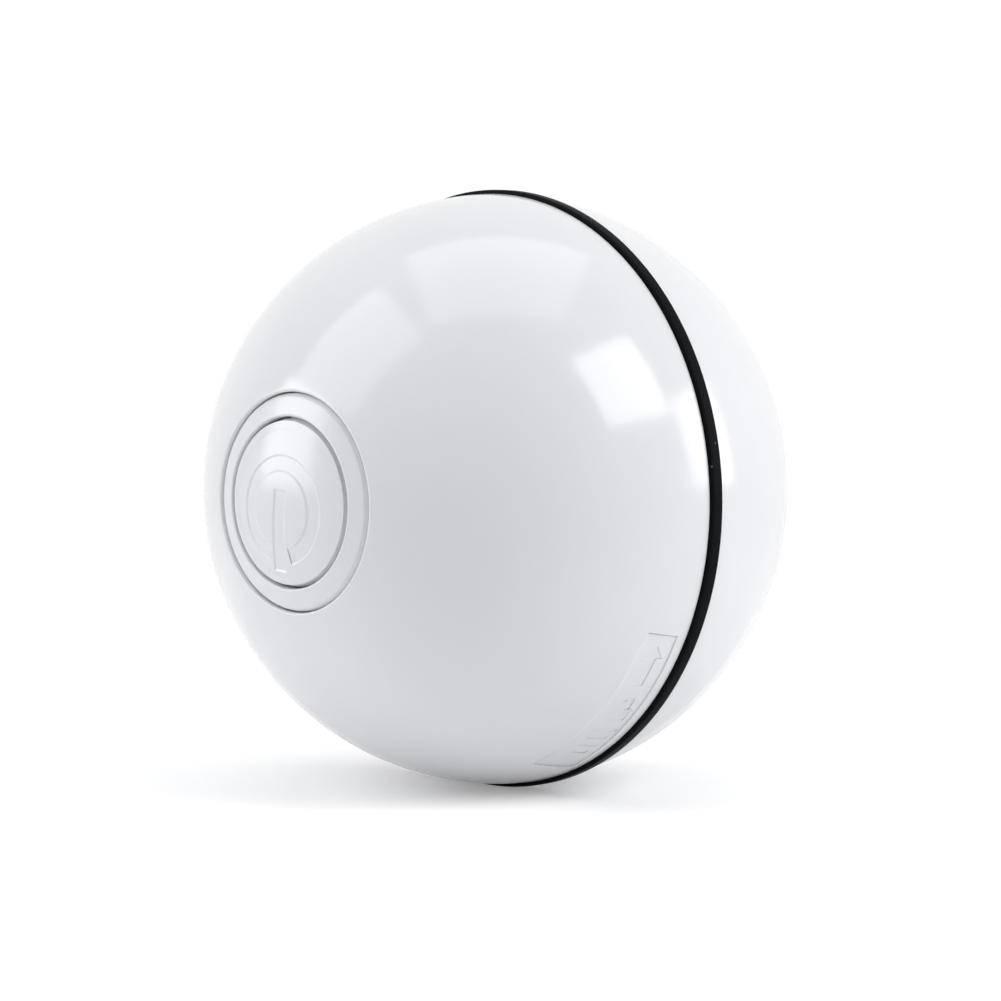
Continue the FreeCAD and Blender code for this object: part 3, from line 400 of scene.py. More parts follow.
def lamp_lens():
    """Clear lens of a lamp, with a milky core."""
    material, tree, shader, place = new_finish("lamp_clear")
    haze = noise(tree, place, 500)
    shade(tree, shader, haze, 0.95, 1.05, (0.86, 0.9, 0.95))
    drift_gloss(tree, shader, haze, 0.12, 0.08)
    shader.inputs["Transmission Weight"].default_value = 0.75
    return material


def make_finishes():
    """One material for each of the record's material slots."""
    shell = tuple(colours().shell)
    pod = tuple(colours().pod)
    steel = (0.62, 0.63, 0.65)
    return {
        "shell_white": plastic("shell_white", shell, 0.13),
        "bezel_white": plastic("bezel_white", shell, 0.2),
        "button_white": plastic("button_white", shell, 0.18),
        "tread_rubber": tread_rubber(),
        "boot_silicone": soft("boot_silicone", (0.7, 0.71, 0.72), 0.5),
        "spring_steel": metal("spring_steel", (0.55, 0.56, 0.58), 0.3),
        "screw_steel": metal("screw_steel", (0.6, 0.6, 0.62), 0.28),
        "shaft_steel": metal("shaft_steel", steel, 0.16, along=1),
        "weight_steel": metal("weight_steel", (0.45, 0.45, 0.46), 0.5),
        "gear_acetal": plastic("gear_acetal", (0.82, 0.81, 0.76), 0.4, 0.1, 1800, 4e-6),
        "washer_nylon": plastic("washer_nylon", (0.8, 0.79, 0.74), 0.45, 0.1, 1800, 4e-6),
        "pod_plastic": plastic("pod_plastic", pod, 0.42, 0.12, 1400, 2.5e-5),
        "bush_brass": metal("bush_brass", (0.78, 0.58, 0.28), 0.25, along=1),
        "motor_can": metal("motor_can", (0.6, 0.6, 0.61), 0.3, along=1),
        "cell_sleeve": plastic("cell_sleeve", (0.05, 0.16, 0.4), 0.3, 0.1, 900, 6e-6),
        "foam_grey": soft("foam_grey", (0.2, 0.2, 0.21), 0.92, 1300, 1.5e-4),
        "wire_red": plastic("wire_red", (0.5, 0.03, 0.025), 0.4, 0.1, 2500, 3e-6),
        "board_green": plastic("board_green", (0.015, 0.14, 0.06), 0.35, 0.15, 1200, 6e-6),
        "chip_black": plastic("chip_black", (0.02, 0.02, 0.022), 0.55, 0.1, 4000, 4e-6),
        "port_metal": metal("port_metal", (0.65, 0.65, 0.66), 0.25, along=1),
        "lamp_clear": lamp_lens(),
        "stem_plastic": plastic("stem_plastic", (0.75, 0.75, 0.73), 0.4, 0.1, 2000, 4e-6),
    }


def dress(obj, slot, body, *nodes):
    """Gives a new piece its finish, its body and the frame's nodes that it stands for."""
    obj.data.materials.clear()
    obj.data.materials.append(bpy.data.materials[slot])
    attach(obj, body)
    if nodes:
        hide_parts(*nodes)


# Pieces

FLOOR_Y = -26.9 * MM
FLOOR_BACK_Y = -25.3 * MM
WEB_FRONT_Y = -22.3 * MM
WEB_BACK_Y = -20.8 * MM
HUB_END_Y = -13.2817 * MM
HUB_RADIUS = 6.0 * MM
HUB_GROOVE = (5.4 * MM, -14.2317 * MM, -13.5317 * MM)
HUB_BORE = 4.4 * MM
STEM_RADIUS = 2.2 * MM
STEM_HOLE = 2.28 * MM
POCKET_RADIUS = 4.3 * MM
COLLAR_RADIUS = 29.2 * MM
COLLAR_BORE = 27.2 * MM
COLLAR_REACH = 5.0 * MM
COLLAR_ROOT = -3.5 * MM
BEAD_RADIUS = 30.2 * MM
BEAD_HALF = 1.15 * MM
BEAD_PLAY = 0.05 * MM
GEAR_SEAT_Y = -20.1817 * MM
FRONT_RIB_Y = GEAR_SEAT_Y - 2 * MM
BOSS_CIRCLE = 10.8 * MM
BOSS_RADIUS = 2.2 * MM
RIB_WIDTH = 1.0 * MM
LUG_ANGLES = [math.radians(a) for a in (30, 150, 270)]
LUG_WIDTH = math.radians(12)
LUG_Y = (1.525 * MM, 2.875 * MM)
LUG_RADIUS = 29.95 * MM
SEAM_GAP = 0.05 * MM
REAR_BORE = 29.3 * MM
REAR_BORE_END = 5.4 * MM
REAR_HUB_RADIUS = 4.8 * MM
REAR_HUB_Y = 20.5 * MM
REAR_HUB_BORE = 3.46 * MM
REAR_HUB_BORE_END = 27.4 * MM
REAR_RIB_Y = 22.5 * MM
REAR_RIBS = 6
GROOVE_RADIUS = 30.08 * MM
GROOVE_Y = (1.395 * MM, 3.005 * MM)
SLOT_WIDTH = math.radians(14.4)
SLOT_FLOOR = COLLAR_RADIUS - MM
TWIST = math.radians(20)
BUTTON_UNDER_Y = -27.677 * MM
BUTTON_PLAY = 0.1 * MM
SIGN_RADIUS = 4.8 * MM
SIGN_GAP = math.radians(18)
SIGN_BAR = (1.9 * MM, 8.5 * MM)
SIGN_BAR_Z = -2.1 * MM
SIGN_DROP = 0.75 * MM
SIGN_SLOPE = 0.22 * MM
SIGN_SHIFT = -0.12 * MM
SIGN_OVER = 0.2 * MM
LABEL_NEAR = -2.1 * MM
LABEL_FAR = (-5.9 * MM, -7.2 * MM)
LABEL_SLOPE = 0.55 * MM
LABEL_TILT = 0.45 * MM
LABEL_OVER = 0.1 * MM
LABEL_STRIP = 0.6 * MM
MARKS_DEPTH = 1.6
MARKS_ACROSS = -4.1 * MM
TOP_LINE = (0.1 * MM, 0.16 * MM)
ARROW_START = 1.7 * MM
ARROW_HEAD = (1.6 * MM, 1.2 * MM)
ARROW_SHAFT = (3.6 * MM, 0.45 * MM)
LOCK_SPACE = 3.4 * MM
LOCK_BODY = (1.9 * MM, 1.3 * MM)
LOCK_LINE = 0.45 * MM
SHACKLE_RADIUS = 0.8 * MM
SHACKLE_RISE = 1.1 * MM
SHACKLE_ROOT = 0.05 * MM
TICK_COUNT = 4
TICK_START = 3.5 * MM
TICK_STEP = 1.5 * MM
TICK_REACH = 1.6 * MM
TICK_TAPER = 0.2 * MM
TICK_LINE = 0.6 * MM
CLIP_Y = -20.75 * MM
CLIP_WIDTH = 0.6 * MM
STEM_GROOVE = 1.7 * MM
STEM_TIP_Y = -14.0817 * MM
STEM_TIP = (1.5 * MM, 1.0 * MM)
OVERLAP = 0.5 * MM
LUG_ROOT = 0.4 * MM
RIM_ROUND = 0.18 * MM
RECESS_ROUND = 0.4 * MM
REAR_HUB_ROUND = 0.25 * MM
RING_ROUND = 0.25 * MM
LAND_INNER_ROUND = 0.35 * MM
LAND_OUTER_ROUND = 0.6 * MM
BUTTON_ROUND = 1.2 * MM


def wall_middle():
    """Radius of the middle of the halves' wall."""
    return (sizes().shell_radius + sizes().cavity_radius) / 2


def wall_rib(side, inner, free_y, angle):
    """Closed flat rib between a hub and a half's wall."""
    bm = bmesh.new()
    corner = point(bm, inner, free_y)
    outer = run(bm, corner, (cap_reach(free_y, wall_middle()), free_y))
    last = cap_run(bm, outer, inner, wall_middle(), side, 12)
    join_run(bm, last, corner)
    bmesh.ops.contextual_create(bm, geom=bm.edges[:])
    bmesh.ops.translate(bm, verts=bm.verts, vec=(0, 0, -RIB_WIDTH / 2))
    made = bmesh.ops.extrude_face_region(bm, geom=bm.faces[:])
    ends = [g for g in made["geom"] if isinstance(g, bmesh.types.BMVert)]
    bmesh.ops.translate(bm, verts=ends, vec=(0, 0, RIB_WIDTH))
    bmesh.ops.rotate(bm, verts=bm.verts, cent=(0, 0, 0), matrix=Matrix.Rotation(-angle, 3, "Y"))
    bmesh.ops.recalc_face_normals(bm, faces=bm.faces)
    return finished("rib", bm, None)


def make_front_shell():
    """Near half: round face, button recess, hub, ring seat and collar with its bayonet lugs."""
    s = sizes()
    rim_y = -s.ring_width / 2
    rim = cap_reach(rim_y, s.shell_radius)
    recess_y = cap_height(s.recess_radius, s.shell_radius, -1)
    root = cap_reach(COLLAR_ROOT, s.cavity_radius)
    groove, groove_front, groove_back = HUB_GROOVE
    bm = bmesh.new()
    first = point(bm, rim, rim_y)
    last = cap_run(bm, first, s.recess_radius, s.shell_radius, -1, 72)
    last = run(
        bm, last, (s.recess_radius, FLOOR_Y), (POCKET_RADIUS, FLOOR_Y), (POCKET_RADIUS, WEB_FRONT_Y),
        (STEM_HOLE, WEB_FRONT_Y), (STEM_HOLE, WEB_BACK_Y), (HUB_BORE, WEB_BACK_Y), (HUB_BORE, HUB_END_Y),
        (HUB_RADIUS, HUB_END_Y), (HUB_RADIUS, groove_back), (groove, groove_back), (groove, groove_front),
        (HUB_RADIUS, groove_front), (HUB_RADIUS, FLOOR_BACK_Y),
        (cap_reach(FLOOR_BACK_Y, s.cavity_radius), FLOOR_BACK_Y),
    )
    last = cap_run(bm, last, root, s.cavity_radius, -1, 40)
    last = run(
        bm, last, (COLLAR_BORE, COLLAR_ROOT + root - COLLAR_BORE), (COLLAR_BORE, COLLAR_REACH),
        (COLLAR_RADIUS, COLLAR_REACH), (COLLAR_RADIUS, -BEAD_HALF - BEAD_PLAY),
        (BEAD_RADIUS + BEAD_PLAY, -BEAD_HALF - BEAD_PLAY), (BEAD_RADIUS + BEAD_PLAY, rim_y),
    )
    join_run(bm, last, first)
    revolve(bm)
    round_rims(bm, [(s.recess_radius, recess_y)], RECESS_ROUND, 6)
    round_rims(bm, [(rim, rim_y), (COLLAR_RADIUS, COLLAR_REACH), (COLLAR_BORE, COLLAR_REACH)], RIM_ROUND)
    shell = finished("front_half_shell", bm)
    adds = [
        sector(COLLAR_RADIUS - LUG_ROOT, LUG_RADIUS, *LUG_Y, angle, LUG_WIDTH) for angle in LUG_ANGLES
    ]
    for angle in LUG_ANGLES:
        x, z = BOSS_CIRCLE * math.cos(angle), BOSS_CIRCLE * math.sin(angle)
        adds.append(rod(BOSS_RADIUS, FLOOR_BACK_Y - OVERLAP, GEAR_SEAT_Y, x, z))
        adds.append(wall_rib(-1, HUB_RADIUS - OVERLAP, FRONT_RIB_Y, angle + math.pi / 3))
    joined(shell, adds, "UNION")
    return joined(shell, [label_field(), label_marks()], "DIFFERENCE")


def make_rear_shell():
    """Far half: round face, ribbed hub, and the bore with its bayonet grooves."""
    s = sizes()
    rim_y = s.ring_width / 2 + SEAM_GAP
    rim = cap_reach(rim_y, s.shell_radius)
    bead = BEAD_RADIUS + 2 * BEAD_PLAY
    bm = bmesh.new()
    first = point(bm, rim, rim_y)
    cap_run(bm, first, 0, s.shell_radius, 1, 90)
    last = point(bm, 0, REAR_HUB_BORE_END)
    last = run(
        bm, last, (REAR_HUB_BORE, REAR_HUB_BORE_END), (REAR_HUB_BORE, REAR_HUB_Y),
        (REAR_HUB_RADIUS, REAR_HUB_Y), (REAR_HUB_RADIUS, cap_height(REAR_HUB_RADIUS, s.cavity_radius, 1)),
    )
    last = cap_run(bm, last, cap_reach(REAR_BORE_END, s.cavity_radius), s.cavity_radius, 1, 64)
    last = run(
        bm, last, (REAR_BORE, REAR_BORE_END), (REAR_BORE, BEAD_HALF + BEAD_PLAY),
        (bead, BEAD_HALF + BEAD_PLAY), (bead, rim_y),
    )
    join_run(bm, last, first)
    revolve(bm)
    round_rims(bm, [(rim, rim_y)], RIM_ROUND)
    round_rims(bm, [(REAR_HUB_RADIUS, REAR_HUB_Y)], REAR_HUB_ROUND)
    shell = finished("rear_half_shell", bm)
    ribs = [
        wall_rib(1, REAR_HUB_RADIUS - OVERLAP, REAR_RIB_Y, i * math.tau / REAR_RIBS) for i in range(REAR_RIBS)
    ]
    joined(shell, ribs, "UNION")
    cuts = []
    for angle in LUG_ANGLES:
        cuts.append(sector(SLOT_FLOOR, GROOVE_RADIUS, -MM, GROOVE_Y[1], angle, SLOT_WIDTH))
        cuts.append(sector(SLOT_FLOOR, GROOVE_RADIUS, *GROOVE_Y, angle + TWIST / 2, SLOT_WIDTH + TWIST))
    return joined(shell, cuts, "DIFFERENCE")


def make_tread_ring():
    """Tread ring with round shoulders and the bead that both halves grip."""
    s = sizes()
    half = s.ring_width / 2
    bm = bmesh.new()
    first = point(bm, COLLAR_RADIUS, -BEAD_HALF)
    last = run(
        bm, first, (BEAD_RADIUS, -BEAD_HALF), (BEAD_RADIUS, -half), (s.ring_radius, -half),
        (s.ring_radius, half), (BEAD_RADIUS, half), (BEAD_RADIUS, BEAD_HALF), (COLLAR_RADIUS, BEAD_HALF),
    )
    join_run(bm, last, first)
    revolve(bm, 360)
    round_rims(bm, [(s.ring_radius, -half), (s.ring_radius, half)], RING_ROUND, 5)
    return finished("tread_ring", bm)


def make_button_land():
    """Land between the recess edge and the button."""
    s = sizes()
    inner = s.button_radius + BUTTON_PLAY
    outer = s.recess_radius - BUTTON_PLAY
    sphere = s.shell_radius - s.land_drop
    bm = bmesh.new()
    first = point(bm, outer, cap_height(outer, sphere, -1))
    last = cap_run(bm, first, inner, sphere, -1, 6)
    last = run(bm, last, (inner, FLOOR_Y), (outer, FLOOR_Y))
    join_run(bm, last, first)
    revolve(bm)
    round_rims(bm, [(inner, cap_height(inner, sphere, -1))], LAND_INNER_ROUND, 6)
    round_rims(bm, [(outer, cap_height(outer, sphere, -1))], LAND_OUTER_ROUND, 8)
    return finished("button_land", bm)


def make_button():
    """Domed push button with its stem and the sign in its face."""
    s = sizes()
    sphere = s.shell_radius - s.button_drop
    tip_radius, tip_length = STEM_TIP
    bm = bmesh.new()
    last = point(bm, 0, cap_height(0, sphere, -1))
    last = cap_run(bm, last, s.button_radius, sphere, -1, 28)
    run(
        bm, last, (s.button_radius, BUTTON_UNDER_Y), (STEM_RADIUS, BUTTON_UNDER_Y), (STEM_RADIUS, CLIP_Y),
        (STEM_GROOVE, CLIP_Y), (STEM_GROOVE, CLIP_Y + CLIP_WIDTH), (STEM_RADIUS, CLIP_Y + CLIP_WIDTH),
        (STEM_RADIUS, STEM_TIP_Y - tip_length), (tip_radius, STEM_TIP_Y), (0, STEM_TIP_Y),
    )
    revolve(bm)
    round_rims(bm, [(s.button_radius, cap_height(s.button_radius, sphere, -1))], BUTTON_ROUND, 12)
    return joined(finished("push_button", bm), [sign_cut(sphere)], "DIFFERENCE", CRISP_ANGLE)


def sign_cut(sphere):
    """Cutter for the on and off sign in the button: an open circle, and a bar through its gap."""
    s = sizes()
    half, deep = s.sign_line / 2, s.sign_depth
    spread = SIGN_SLOPE * SIGN_OVER / deep
    low, high = half - SIGN_SLOPE, half + spread
    bm = bmesh.new()
    corner = point(bm, SIGN_RADIUS - low, deep)
    last = run(bm, corner, (SIGN_RADIUS + low, deep), (SIGN_RADIUS + high, -SIGN_OVER),
               (SIGN_RADIUS - high, -SIGN_OVER))
    join_run(bm, last, corner)
    face = bmesh.ops.contextual_create(bm, geom=bm.edges[:])["faces"]
    start = SIGN_GAP - math.pi / 2
    bmesh.ops.rotate(bm, verts=bm.verts, cent=(0, 0, 0), matrix=Matrix.Rotation(-start, 3, "Y"))
    bmesh.ops.spin(
        bm, geom=face, cent=(0, 0, 0), axis=(0, -1, 0), angle=math.tau - 2 * SIGN_GAP, steps=96,
    )
    width, reach = SIGN_BAR
    place = Matrix.Translation((0, (deep - SIGN_OVER) / 2, SIGN_BAR_Z))
    bar = bmesh.ops.create_cube(
        bm, size=1, matrix=place @ Matrix.Diagonal((width, deep + SIGN_OVER, reach, 1)),
    )["verts"]
    inner = [v for v in bar if v.co.y > 0]
    outer = [v for v in bar if v.co.y < 0]
    for ends, grow in ((inner, -SIGN_SLOPE), (outer, spread)):
        bmesh.ops.scale(
            bm, verts=ends, vec=(1 + 2 * grow / width, 1, 1 + 2 * grow / reach), space=place.inverted(),
        )
    sides = {e for v in bar for e in v.link_edges if abs(e.verts[0].co.z - e.verts[1].co.z) > reach / 2}
    bmesh.ops.subdivide_edges(bm, edges=list(sides), cuts=15, use_grid_fill=True)
    bmesh.ops.translate(bm, verts=bm.verts, vec=(SIGN_SHIFT, 0, -SIGN_DROP))
    bmesh.ops.rotate(bm, verts=bm.verts, cent=(0, 0, 0), matrix=Matrix.Rotation(s.sign_turn, 3, "Y"))
    bmesh.ops.recalc_face_normals(bm, faces=bm.faces)
    for vert in bm.verts:
        vert.co.y += cap_height(math.hypot(vert.co.x, vert.co.z), sphere, -1)
    return finished("sign_cut", bm, None)


def plate(bm, corners):
    """Flat face through these places along and across the label."""
    return bm.faces.new([bm.verts.new((u, v, 0)) for u, v in corners])


def stroke(bm, a, b, width):
    """Flat bar between two places on the label."""
    a, b = Vector(a), Vector(b)
    side = (b - a).normalized() * (width / 2)
    off = Vector((-side.y, side.x))
    return plate(bm, [a + off, a - off, b - off, b + off])


def outlined(bm, face, line):
    """Leaves only a border of this width of a flat face."""
    bmesh.ops.inset_region(bm, faces=[face], thickness=line, use_even_offset=True, use_boundary=True)
    bmesh.ops.delete(bm, geom=[face], context="FACES_ONLY")


def sliced(bm, low, high, normal):
    """Cuts flat faces into strips, so that they can follow the ball."""
    bmesh.ops.triangulate(bm, faces=bm.faces[:])
    count = math.ceil((high - low) / LABEL_STRIP)
    for i in range(1, count):
        bmesh.ops.bisect_plane(
            bm, geom=bm.verts[:] + bm.edges[:] + bm.faces[:], dist=1e-8,
            plane_co=Vector(normal) * (low + i * LABEL_STRIP), plane_no=normal,
        )


def padlock(bm, u, v, line):
    """Open padlock: a solid body with a shackle that is lifted on one side."""
    tall, half = LOCK_BODY
    plate(bm, [(u, v - half), (u, v + half), (u - tall, v + half), (u - tall, v - half)])
    top = u + SHACKLE_RISE
    arc = bmesh.ops.create_circle(bm, segments=24, radius=SHACKLE_RADIUS, cap_ends=True)["verts"]
    bmesh.ops.translate(bm, verts=arc, vec=(top, v, 0))
    outlined(bm, arc[0].link_faces[0], line)
    gone = [f for vert in arc for f in vert.link_faces if f.calc_center_median().x < top]
    bmesh.ops.delete(bm, geom=list(set(gone)), context="FACES")
    leg = v + SHACKLE_RADIUS - line / 2
    stroke(bm, (u - SHACKLE_ROOT, leg), (top, leg), line)


def wrapped(bm, depth, slope=0.0):
    """Closed cutter from flat faces along and across the label, wrapped round the ball down to this depth."""
    radius = sizes().shell_radius
    along = [v.co.x for v in bm.verts]
    across = [v.co.y for v in bm.verts]
    sliced(bm, min(along), max(along), (1, 0, 0))
    sliced(bm, min(across), max(across), (0, 1, 0))
    bmesh.ops.remove_doubles(bm, verts=bm.verts, dist=1e-7)
    made = bmesh.ops.extrude_face_region(bm, geom=bm.faces[:], use_keep_orig=True)
    for vert in (g for g in made["geom"] if isinstance(g, bmesh.types.BMVert)):
        vert.co.z = depth + LABEL_OVER
        if slope and abs(vert.co.y - far_edge(vert.co.x)) < 1e-6:
            vert.co.y -= slope
    for vert in bm.verts:
        along, across, up = vert.co
        reach = cap_reach(across, radius) - depth + up
        vert.co = (reach * math.cos(along / radius), across, reach * math.sin(along / radius))
    bmesh.ops.recalc_face_normals(bm, faces=bm.faces)
    return finished("label_cut", bm, None)


def label_ends():
    """Places of the label's upper and lower end along the ball."""
    s = sizes()
    return s.label_start * s.shell_radius, s.label_end * s.shell_radius


def far_edge(along):
    """Place of the label's far edge across the ball, which leaves the ring a little towards its lower end."""
    start, end = label_ends()
    return LABEL_FAR[0] + (LABEL_FAR[1] - LABEL_FAR[0]) * (along - start) / (end - start)


def label_field():
    """Cutter for the label's sunk field."""
    start, end = label_ends()
    bm = bmesh.new()
    plate(bm, [
        (start - LABEL_TILT, LABEL_NEAR), (start, far_edge(start)), (end, far_edge(end)), (end, LABEL_NEAR),
    ])
    return wrapped(bm, sizes().label_depth, LABEL_SLOPE)


def label_marks():
    """Cutter for the marks in the label's field: its top line, an arrow, an open padlock and plain ticks."""
    start, end = label_ends()
    bm = bmesh.new()
    inset, line = TOP_LINE
    stroke(bm, (start - inset, far_edge(start)), (start - LABEL_TILT - inset, LABEL_NEAR), line)
    head, wide = ARROW_HEAD
    shaft, half = ARROW_SHAFT
    middle = MARKS_ACROSS
    lead = start - ARROW_START
    neck = lead - head
    tail = neck - shaft
    plate(bm, [
        (lead, middle), (neck, middle - wide), (neck, middle - half), (tail, middle - half),
        (tail, middle + half), (neck, middle + half), (neck, middle + wide),
    ])
    lock = tail - LOCK_SPACE
    padlock(bm, lock, middle, LOCK_LINE)
    for i in range(TICK_COUNT):
        at = lock - TICK_START - i * TICK_STEP
        reach = TICK_REACH - i * TICK_TAPER
        stroke(bm, (at, middle - reach), (at, middle + reach), TICK_LINE)
    return wrapped(bm, MARKS_DEPTH * sizes().label_depth)


# Studio

def aim(obj, place, target):
    """Sets an object at a place, looking at a target."""
    obj.location = place
    obj.rotation_euler = (Vector(target) - Vector(place)).to_track_quat("-Z", "Y").to_euler()


def softbox(name, place, target, width, height, power):
    """Rectangular studio light."""
    light = bpy.data.lights.new(name, "AREA")
    light.shape = "RECTANGLE"
    light.size = width
    light.size_y = height
    light.energy = power
    obj = bpy.data.objects.new(name, light)
    bpy.context.scene.collection.objects.link(obj)
    aim(obj, place, target)


CAMERA_AZIMUTH = math.radians(45.33)
CAMERA_ELEVATION = math.radians(3.54)
CAMERA_ROLL = math.radians(-0.31)
CAMERA_DISTANCE = 0.3756
CAMERA_LENS = 125.83
CAMERA_AIM = (0.537 * MM, -1.234 * MM)


def camera_axes():
    """Directions from the ball to the camera, and right and up in its picture."""
    a, e = CAMERA_AZIMUTH, CAMERA_ELEVATION
    back = Vector((math.sin(a) * math.cos(e), -math.cos(a) * math.cos(e), math.sin(e)))
    right = Vector((math.cos(a), math.sin(a), 0))
    return back, right, back.cross(right)


def seen(tree):
    """1 for rays from the camera, mirrors and glass, and 0 for light that falls on the object."""
    path = node(tree, "ShaderNodeLightPath")
    first = node(
        tree, "ShaderNodeMath", {0: path.outputs["Is Camera Ray"], 1: path.outputs["Is Glossy Ray"]},
        operation="MAXIMUM",
    ).outputs[0]
    return node(
        tree, "ShaderNodeMath", {0: first, 1: path.outputs["Is Transmission Ray"]}, operation="MAXIMUM",
    ).outputs[0]


SKY_LIGHT = 0.48
FLOOR_SIZE = 3.0
FLOOR_FADE = (0.06, 0.2)
FLOOR_LIFT = 0.25


def make_world():
    """World that looks white, and lights the object from above."""
    world = bpy.data.worlds.new("studio_world")
    world.use_nodes = True
    bpy.context.scene.world = world
    tree = world.node_tree
    tree.nodes.clear()
    where = node(tree, "ShaderNodeTexCoord").outputs["Generated"]
    height = node(tree, "ShaderNodeSeparateXYZ", {"Vector": where}).outputs["Z"]
    sky = node(tree, "ShaderNodeMath", {0: height, 1: SKY_LIGHT}, operation="MULTIPLY", use_clamp=True)
    fill = node(tree, "ShaderNodeBackground", {"Color": (0.96, 0.97, 1, 1), "Strength": sky.outputs[0]})
    white = node(tree, "ShaderNodeBackground", {"Color": (1, 1, 1, 1), "Strength": 1.0})
    mix = node(
        tree, "ShaderNodeMixShader", {0: seen(tree), 1: fill.outputs[0], 2: white.outputs[0]},
    )
    node(tree, "ShaderNodeOutputWorld", {"Surface": mix.outputs[0]})


def floor_finish():
    """Pale floor that keeps the shadow under the ball and turns plain white away from it."""
    material = bpy.data.materials.new("studio_floor")
    material.use_nodes = True
    tree = material.node_tree
    tree.nodes.clear()
    where = node(tree, "ShaderNodeTexCoord").outputs["Object"]
    away = node(tree, "ShaderNodeVectorMath", {0: where}, operation="LENGTH").outputs["Value"]
    near, far = FLOOR_FADE
    reach = ramp(tree, away, (near, 0), (far, 1))
    mask = node(tree, "ShaderNodeMath", {0: seen(tree), 1: reach}, operation="MULTIPLY").outputs[0]
    paper = node(tree, "ShaderNodeBsdfDiffuse", {"Color": (*colours().floor, 1)})
    amount = node(tree, "ShaderNodeMath", {0: seen(tree), 1: FLOOR_LIFT}, operation="MULTIPLY").outputs[0]
    lift = node(tree, "ShaderNodeEmission", {"Color": (1, 1, 1, 1), "Strength": amount})
    shown = node(tree, "ShaderNodeAddShader", {0: paper.outputs[0], 1: lift.outputs[0]})
    white = node(tree, "ShaderNodeEmission", {"Color": (1, 1, 1, 1), "Strength": 1.0})
    both = node(tree, "ShaderNodeMixShader", {0: mask, 1: shown.outputs[0], 2: white.outputs[0]})
    node(tree, "ShaderNodeOutputMaterial", {"Surface": both.outputs[0]})
    return material


def make_floor():
    """Plain floor under the ball."""
    bm = bmesh.new()
    bmesh.ops.create_grid(bm, x_segments=1, y_segments=1, size=FLOOR_SIZE)
    bmesh.ops.translate(bm, verts=bm.verts, vec=(0, 0, cad_box[0][2]))
    floor = finished("studio_floor", bm, None)
    floor.data.materials.append(floor_finish())


def make_camera():
    """Camera at the photograph's viewing angle."""
    back, right, up = camera_axes()
    data = bpy.data.cameras.new("camera")
    data.lens = CAMERA_LENS
    data.sensor_width = 36
    data.clip_start = 0.01
    obj = bpy.data.objects.new("camera", data)
    bpy.context.scene.collection.objects.link(obj)
    aim(obj, back * CAMERA_DISTANCE, right * CAMERA_AIM[0] + up * CAMERA_AIM[1])
    obj.rotation_euler.rotate_axis("Z", CAMERA_ROLL)
    bpy.context.scene.camera = obj


def make_lights():
    """Softboxes on both sides and overhead."""
    back, right, up = camera_axes()
    softbox("key_softbox", right * 0.7 + up * 0.6 + back * 0.45, (0, 0, 0), 0.5, 0.5, 3.9)
    softbox("right_softbox", right * 1.0 + up * 0.25, (0, 0, 0), 0.5, 0.5, 2.95)
    softbox("left_softbox", right * -1.0 + up * 0.25, (0, 0, 0), 0.5, 0.5, 3.1)
    softbox("left_high_softbox", right * -0.5 + up * 0.48 + back * 0.11, (0, 0, 0), 0.45, 0.45, 1.06)
    softbox("top_softbox", up * 1.0, (0, 0, 0), 0.8, 0.8, 2.6)


# Operators and panel

class CATBALL_OT_finishes(bpy.types.Operator):
    """Make the finishes and dress the frame's own pieces with them"""

    bl_idname = "catball.finishes"
    bl_label = "Finishes"

    def execute(self, context):
        ready = make_finishes()
        for subpart in frame["record"]["subparts"]:
            obj = frame["nodes"][subpart["node"]]
            obj.data.materials.clear()
            obj.data.materials.append(ready[subpart["material_slot"]])
        return {"FINISHED"}


class CATBALL_OT_front_shell(bpy.types.Operator):
    """Add the near half, with the label that shows which way the far half opens"""

    bl_idname = "catball.front_shell"
    bl_label = "Near half"

    def execute(self, context):
        dress(make_front_shell(), "shell_white", "front_half", "front_shell")
        return {"FINISHED"}


class CATBALL_OT_rear_shell(bpy.types.Operator):
    """Add the half that twists off"""

    bl_idname = "catball.rear_shell"
    bl_label = "Far half"

    def execute(self, context):
        dress(make_rear_shell(), "shell_white", "rear_half", "rear_shell")
        return {"FINISHED"}


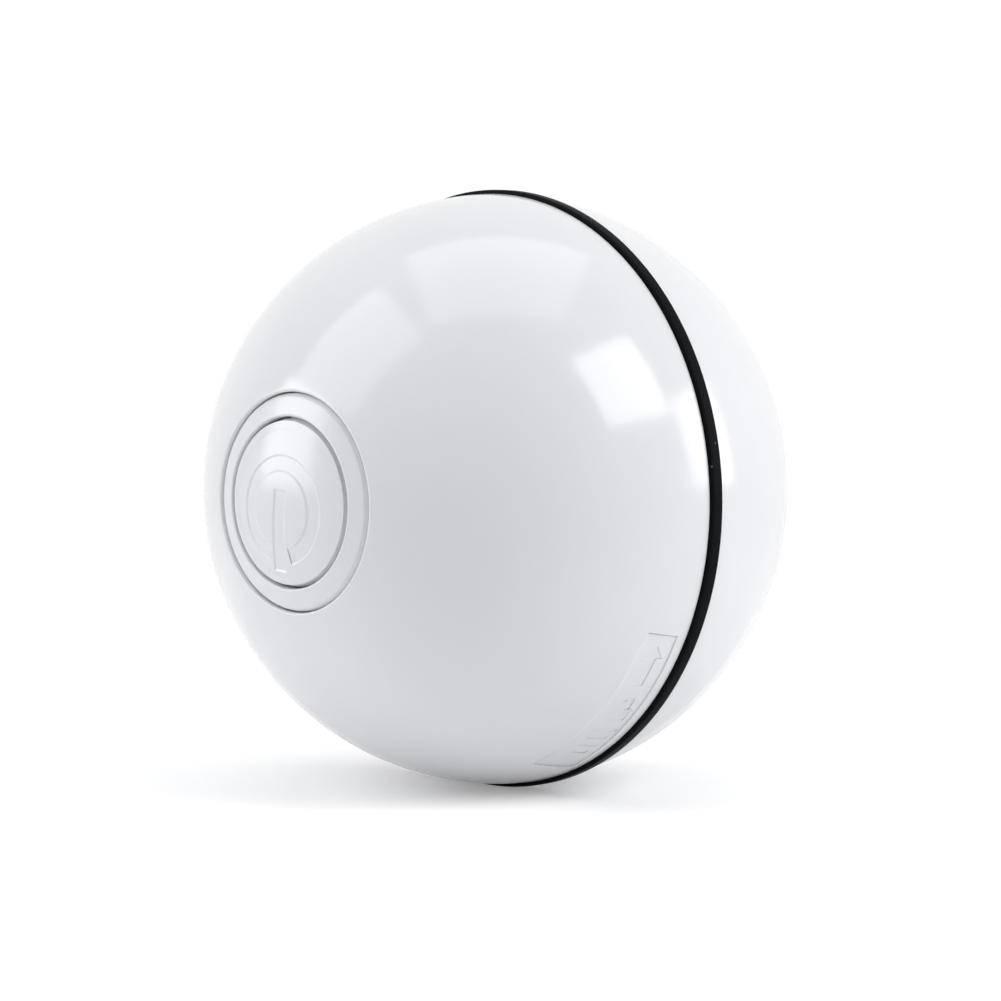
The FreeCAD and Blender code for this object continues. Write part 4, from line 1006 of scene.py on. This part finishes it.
class CATBALL_OT_tread_ring(bpy.types.Operator):
    """Add the rubber tread ring"""

    bl_idname = "catball.tread_ring"
    bl_label = "Tread ring"

    def execute(self, context):
        dress(make_tread_ring(), "tread_rubber", "front_half", "rubber_ring")
        return {"FINISHED"}


class CATBALL_OT_button(bpy.types.Operator):
    """Add the push button and the land round it"""

    bl_idname = "catball.button"
    bl_label = "Push button"

    def execute(self, context):
        dress(make_button_land(), "bezel_white", "front_half", "button_bezel")
        dress(make_button(), "button_white", "button", "button_cap")
        return {"FINISHED"}


class CATBALL_OT_studio(bpy.types.Operator):
    """Add the floor, the lights and the camera"""

    bl_idname = "catball.studio"
    bl_label = "Studio"

    def execute(self, context):
        make_world()
        make_floor()
        make_lights()
        make_camera()
        context.scene.view_settings.view_transform = "Standard"
        return {"FINISHED"}


STEPS = (
    CATBALL_OT_finishes, CATBALL_OT_front_shell, CATBALL_OT_rear_shell, CATBALL_OT_tread_ring,
    CATBALL_OT_button, CATBALL_OT_studio,
)


class CATBALL_PT_panel(bpy.types.Panel):
    """Lists the ball's steps and settings"""

    bl_idname = "CATBALL_PT_panel"
    bl_label = "Cat Ball"
    bl_space_type = "VIEW_3D"
    bl_region_type = "UI"
    bl_category = "Cat Ball"

    def draw(self, context):
        for step in STEPS:
            self.layout.operator(step.bl_idname)
        for settings in (context.scene.cat_ball_sizes, context.scene.cat_ball_colours):
            for name in settings.__annotations__:
                self.layout.prop(settings, name)


CLASSES = (BallSizes, BallColours, *STEPS, CATBALL_PT_panel)


def register():
    """Registers the settings, operators and panel."""
    for cls in CLASSES:
        bpy.utils.register_class(cls)
    bpy.types.Scene.cat_ball_sizes = bpy.props.PointerProperty(type=BallSizes)
    bpy.types.Scene.cat_ball_colours = bpy.props.PointerProperty(type=BallColours)


def unregister():
    """Takes them away again."""
    del bpy.types.Scene.cat_ball_colours
    del bpy.types.Scene.cat_ball_sizes
    for cls in reversed(CLASSES):
        bpy.utils.unregister_class(cls)


def main():
    """Builds the whole scene, step by step."""
    register()
    for step in STEPS:
        group, name = step.bl_idname.split(".")
        getattr(getattr(bpy.ops, group), name)()


if __name__ == "__main__":
    main()
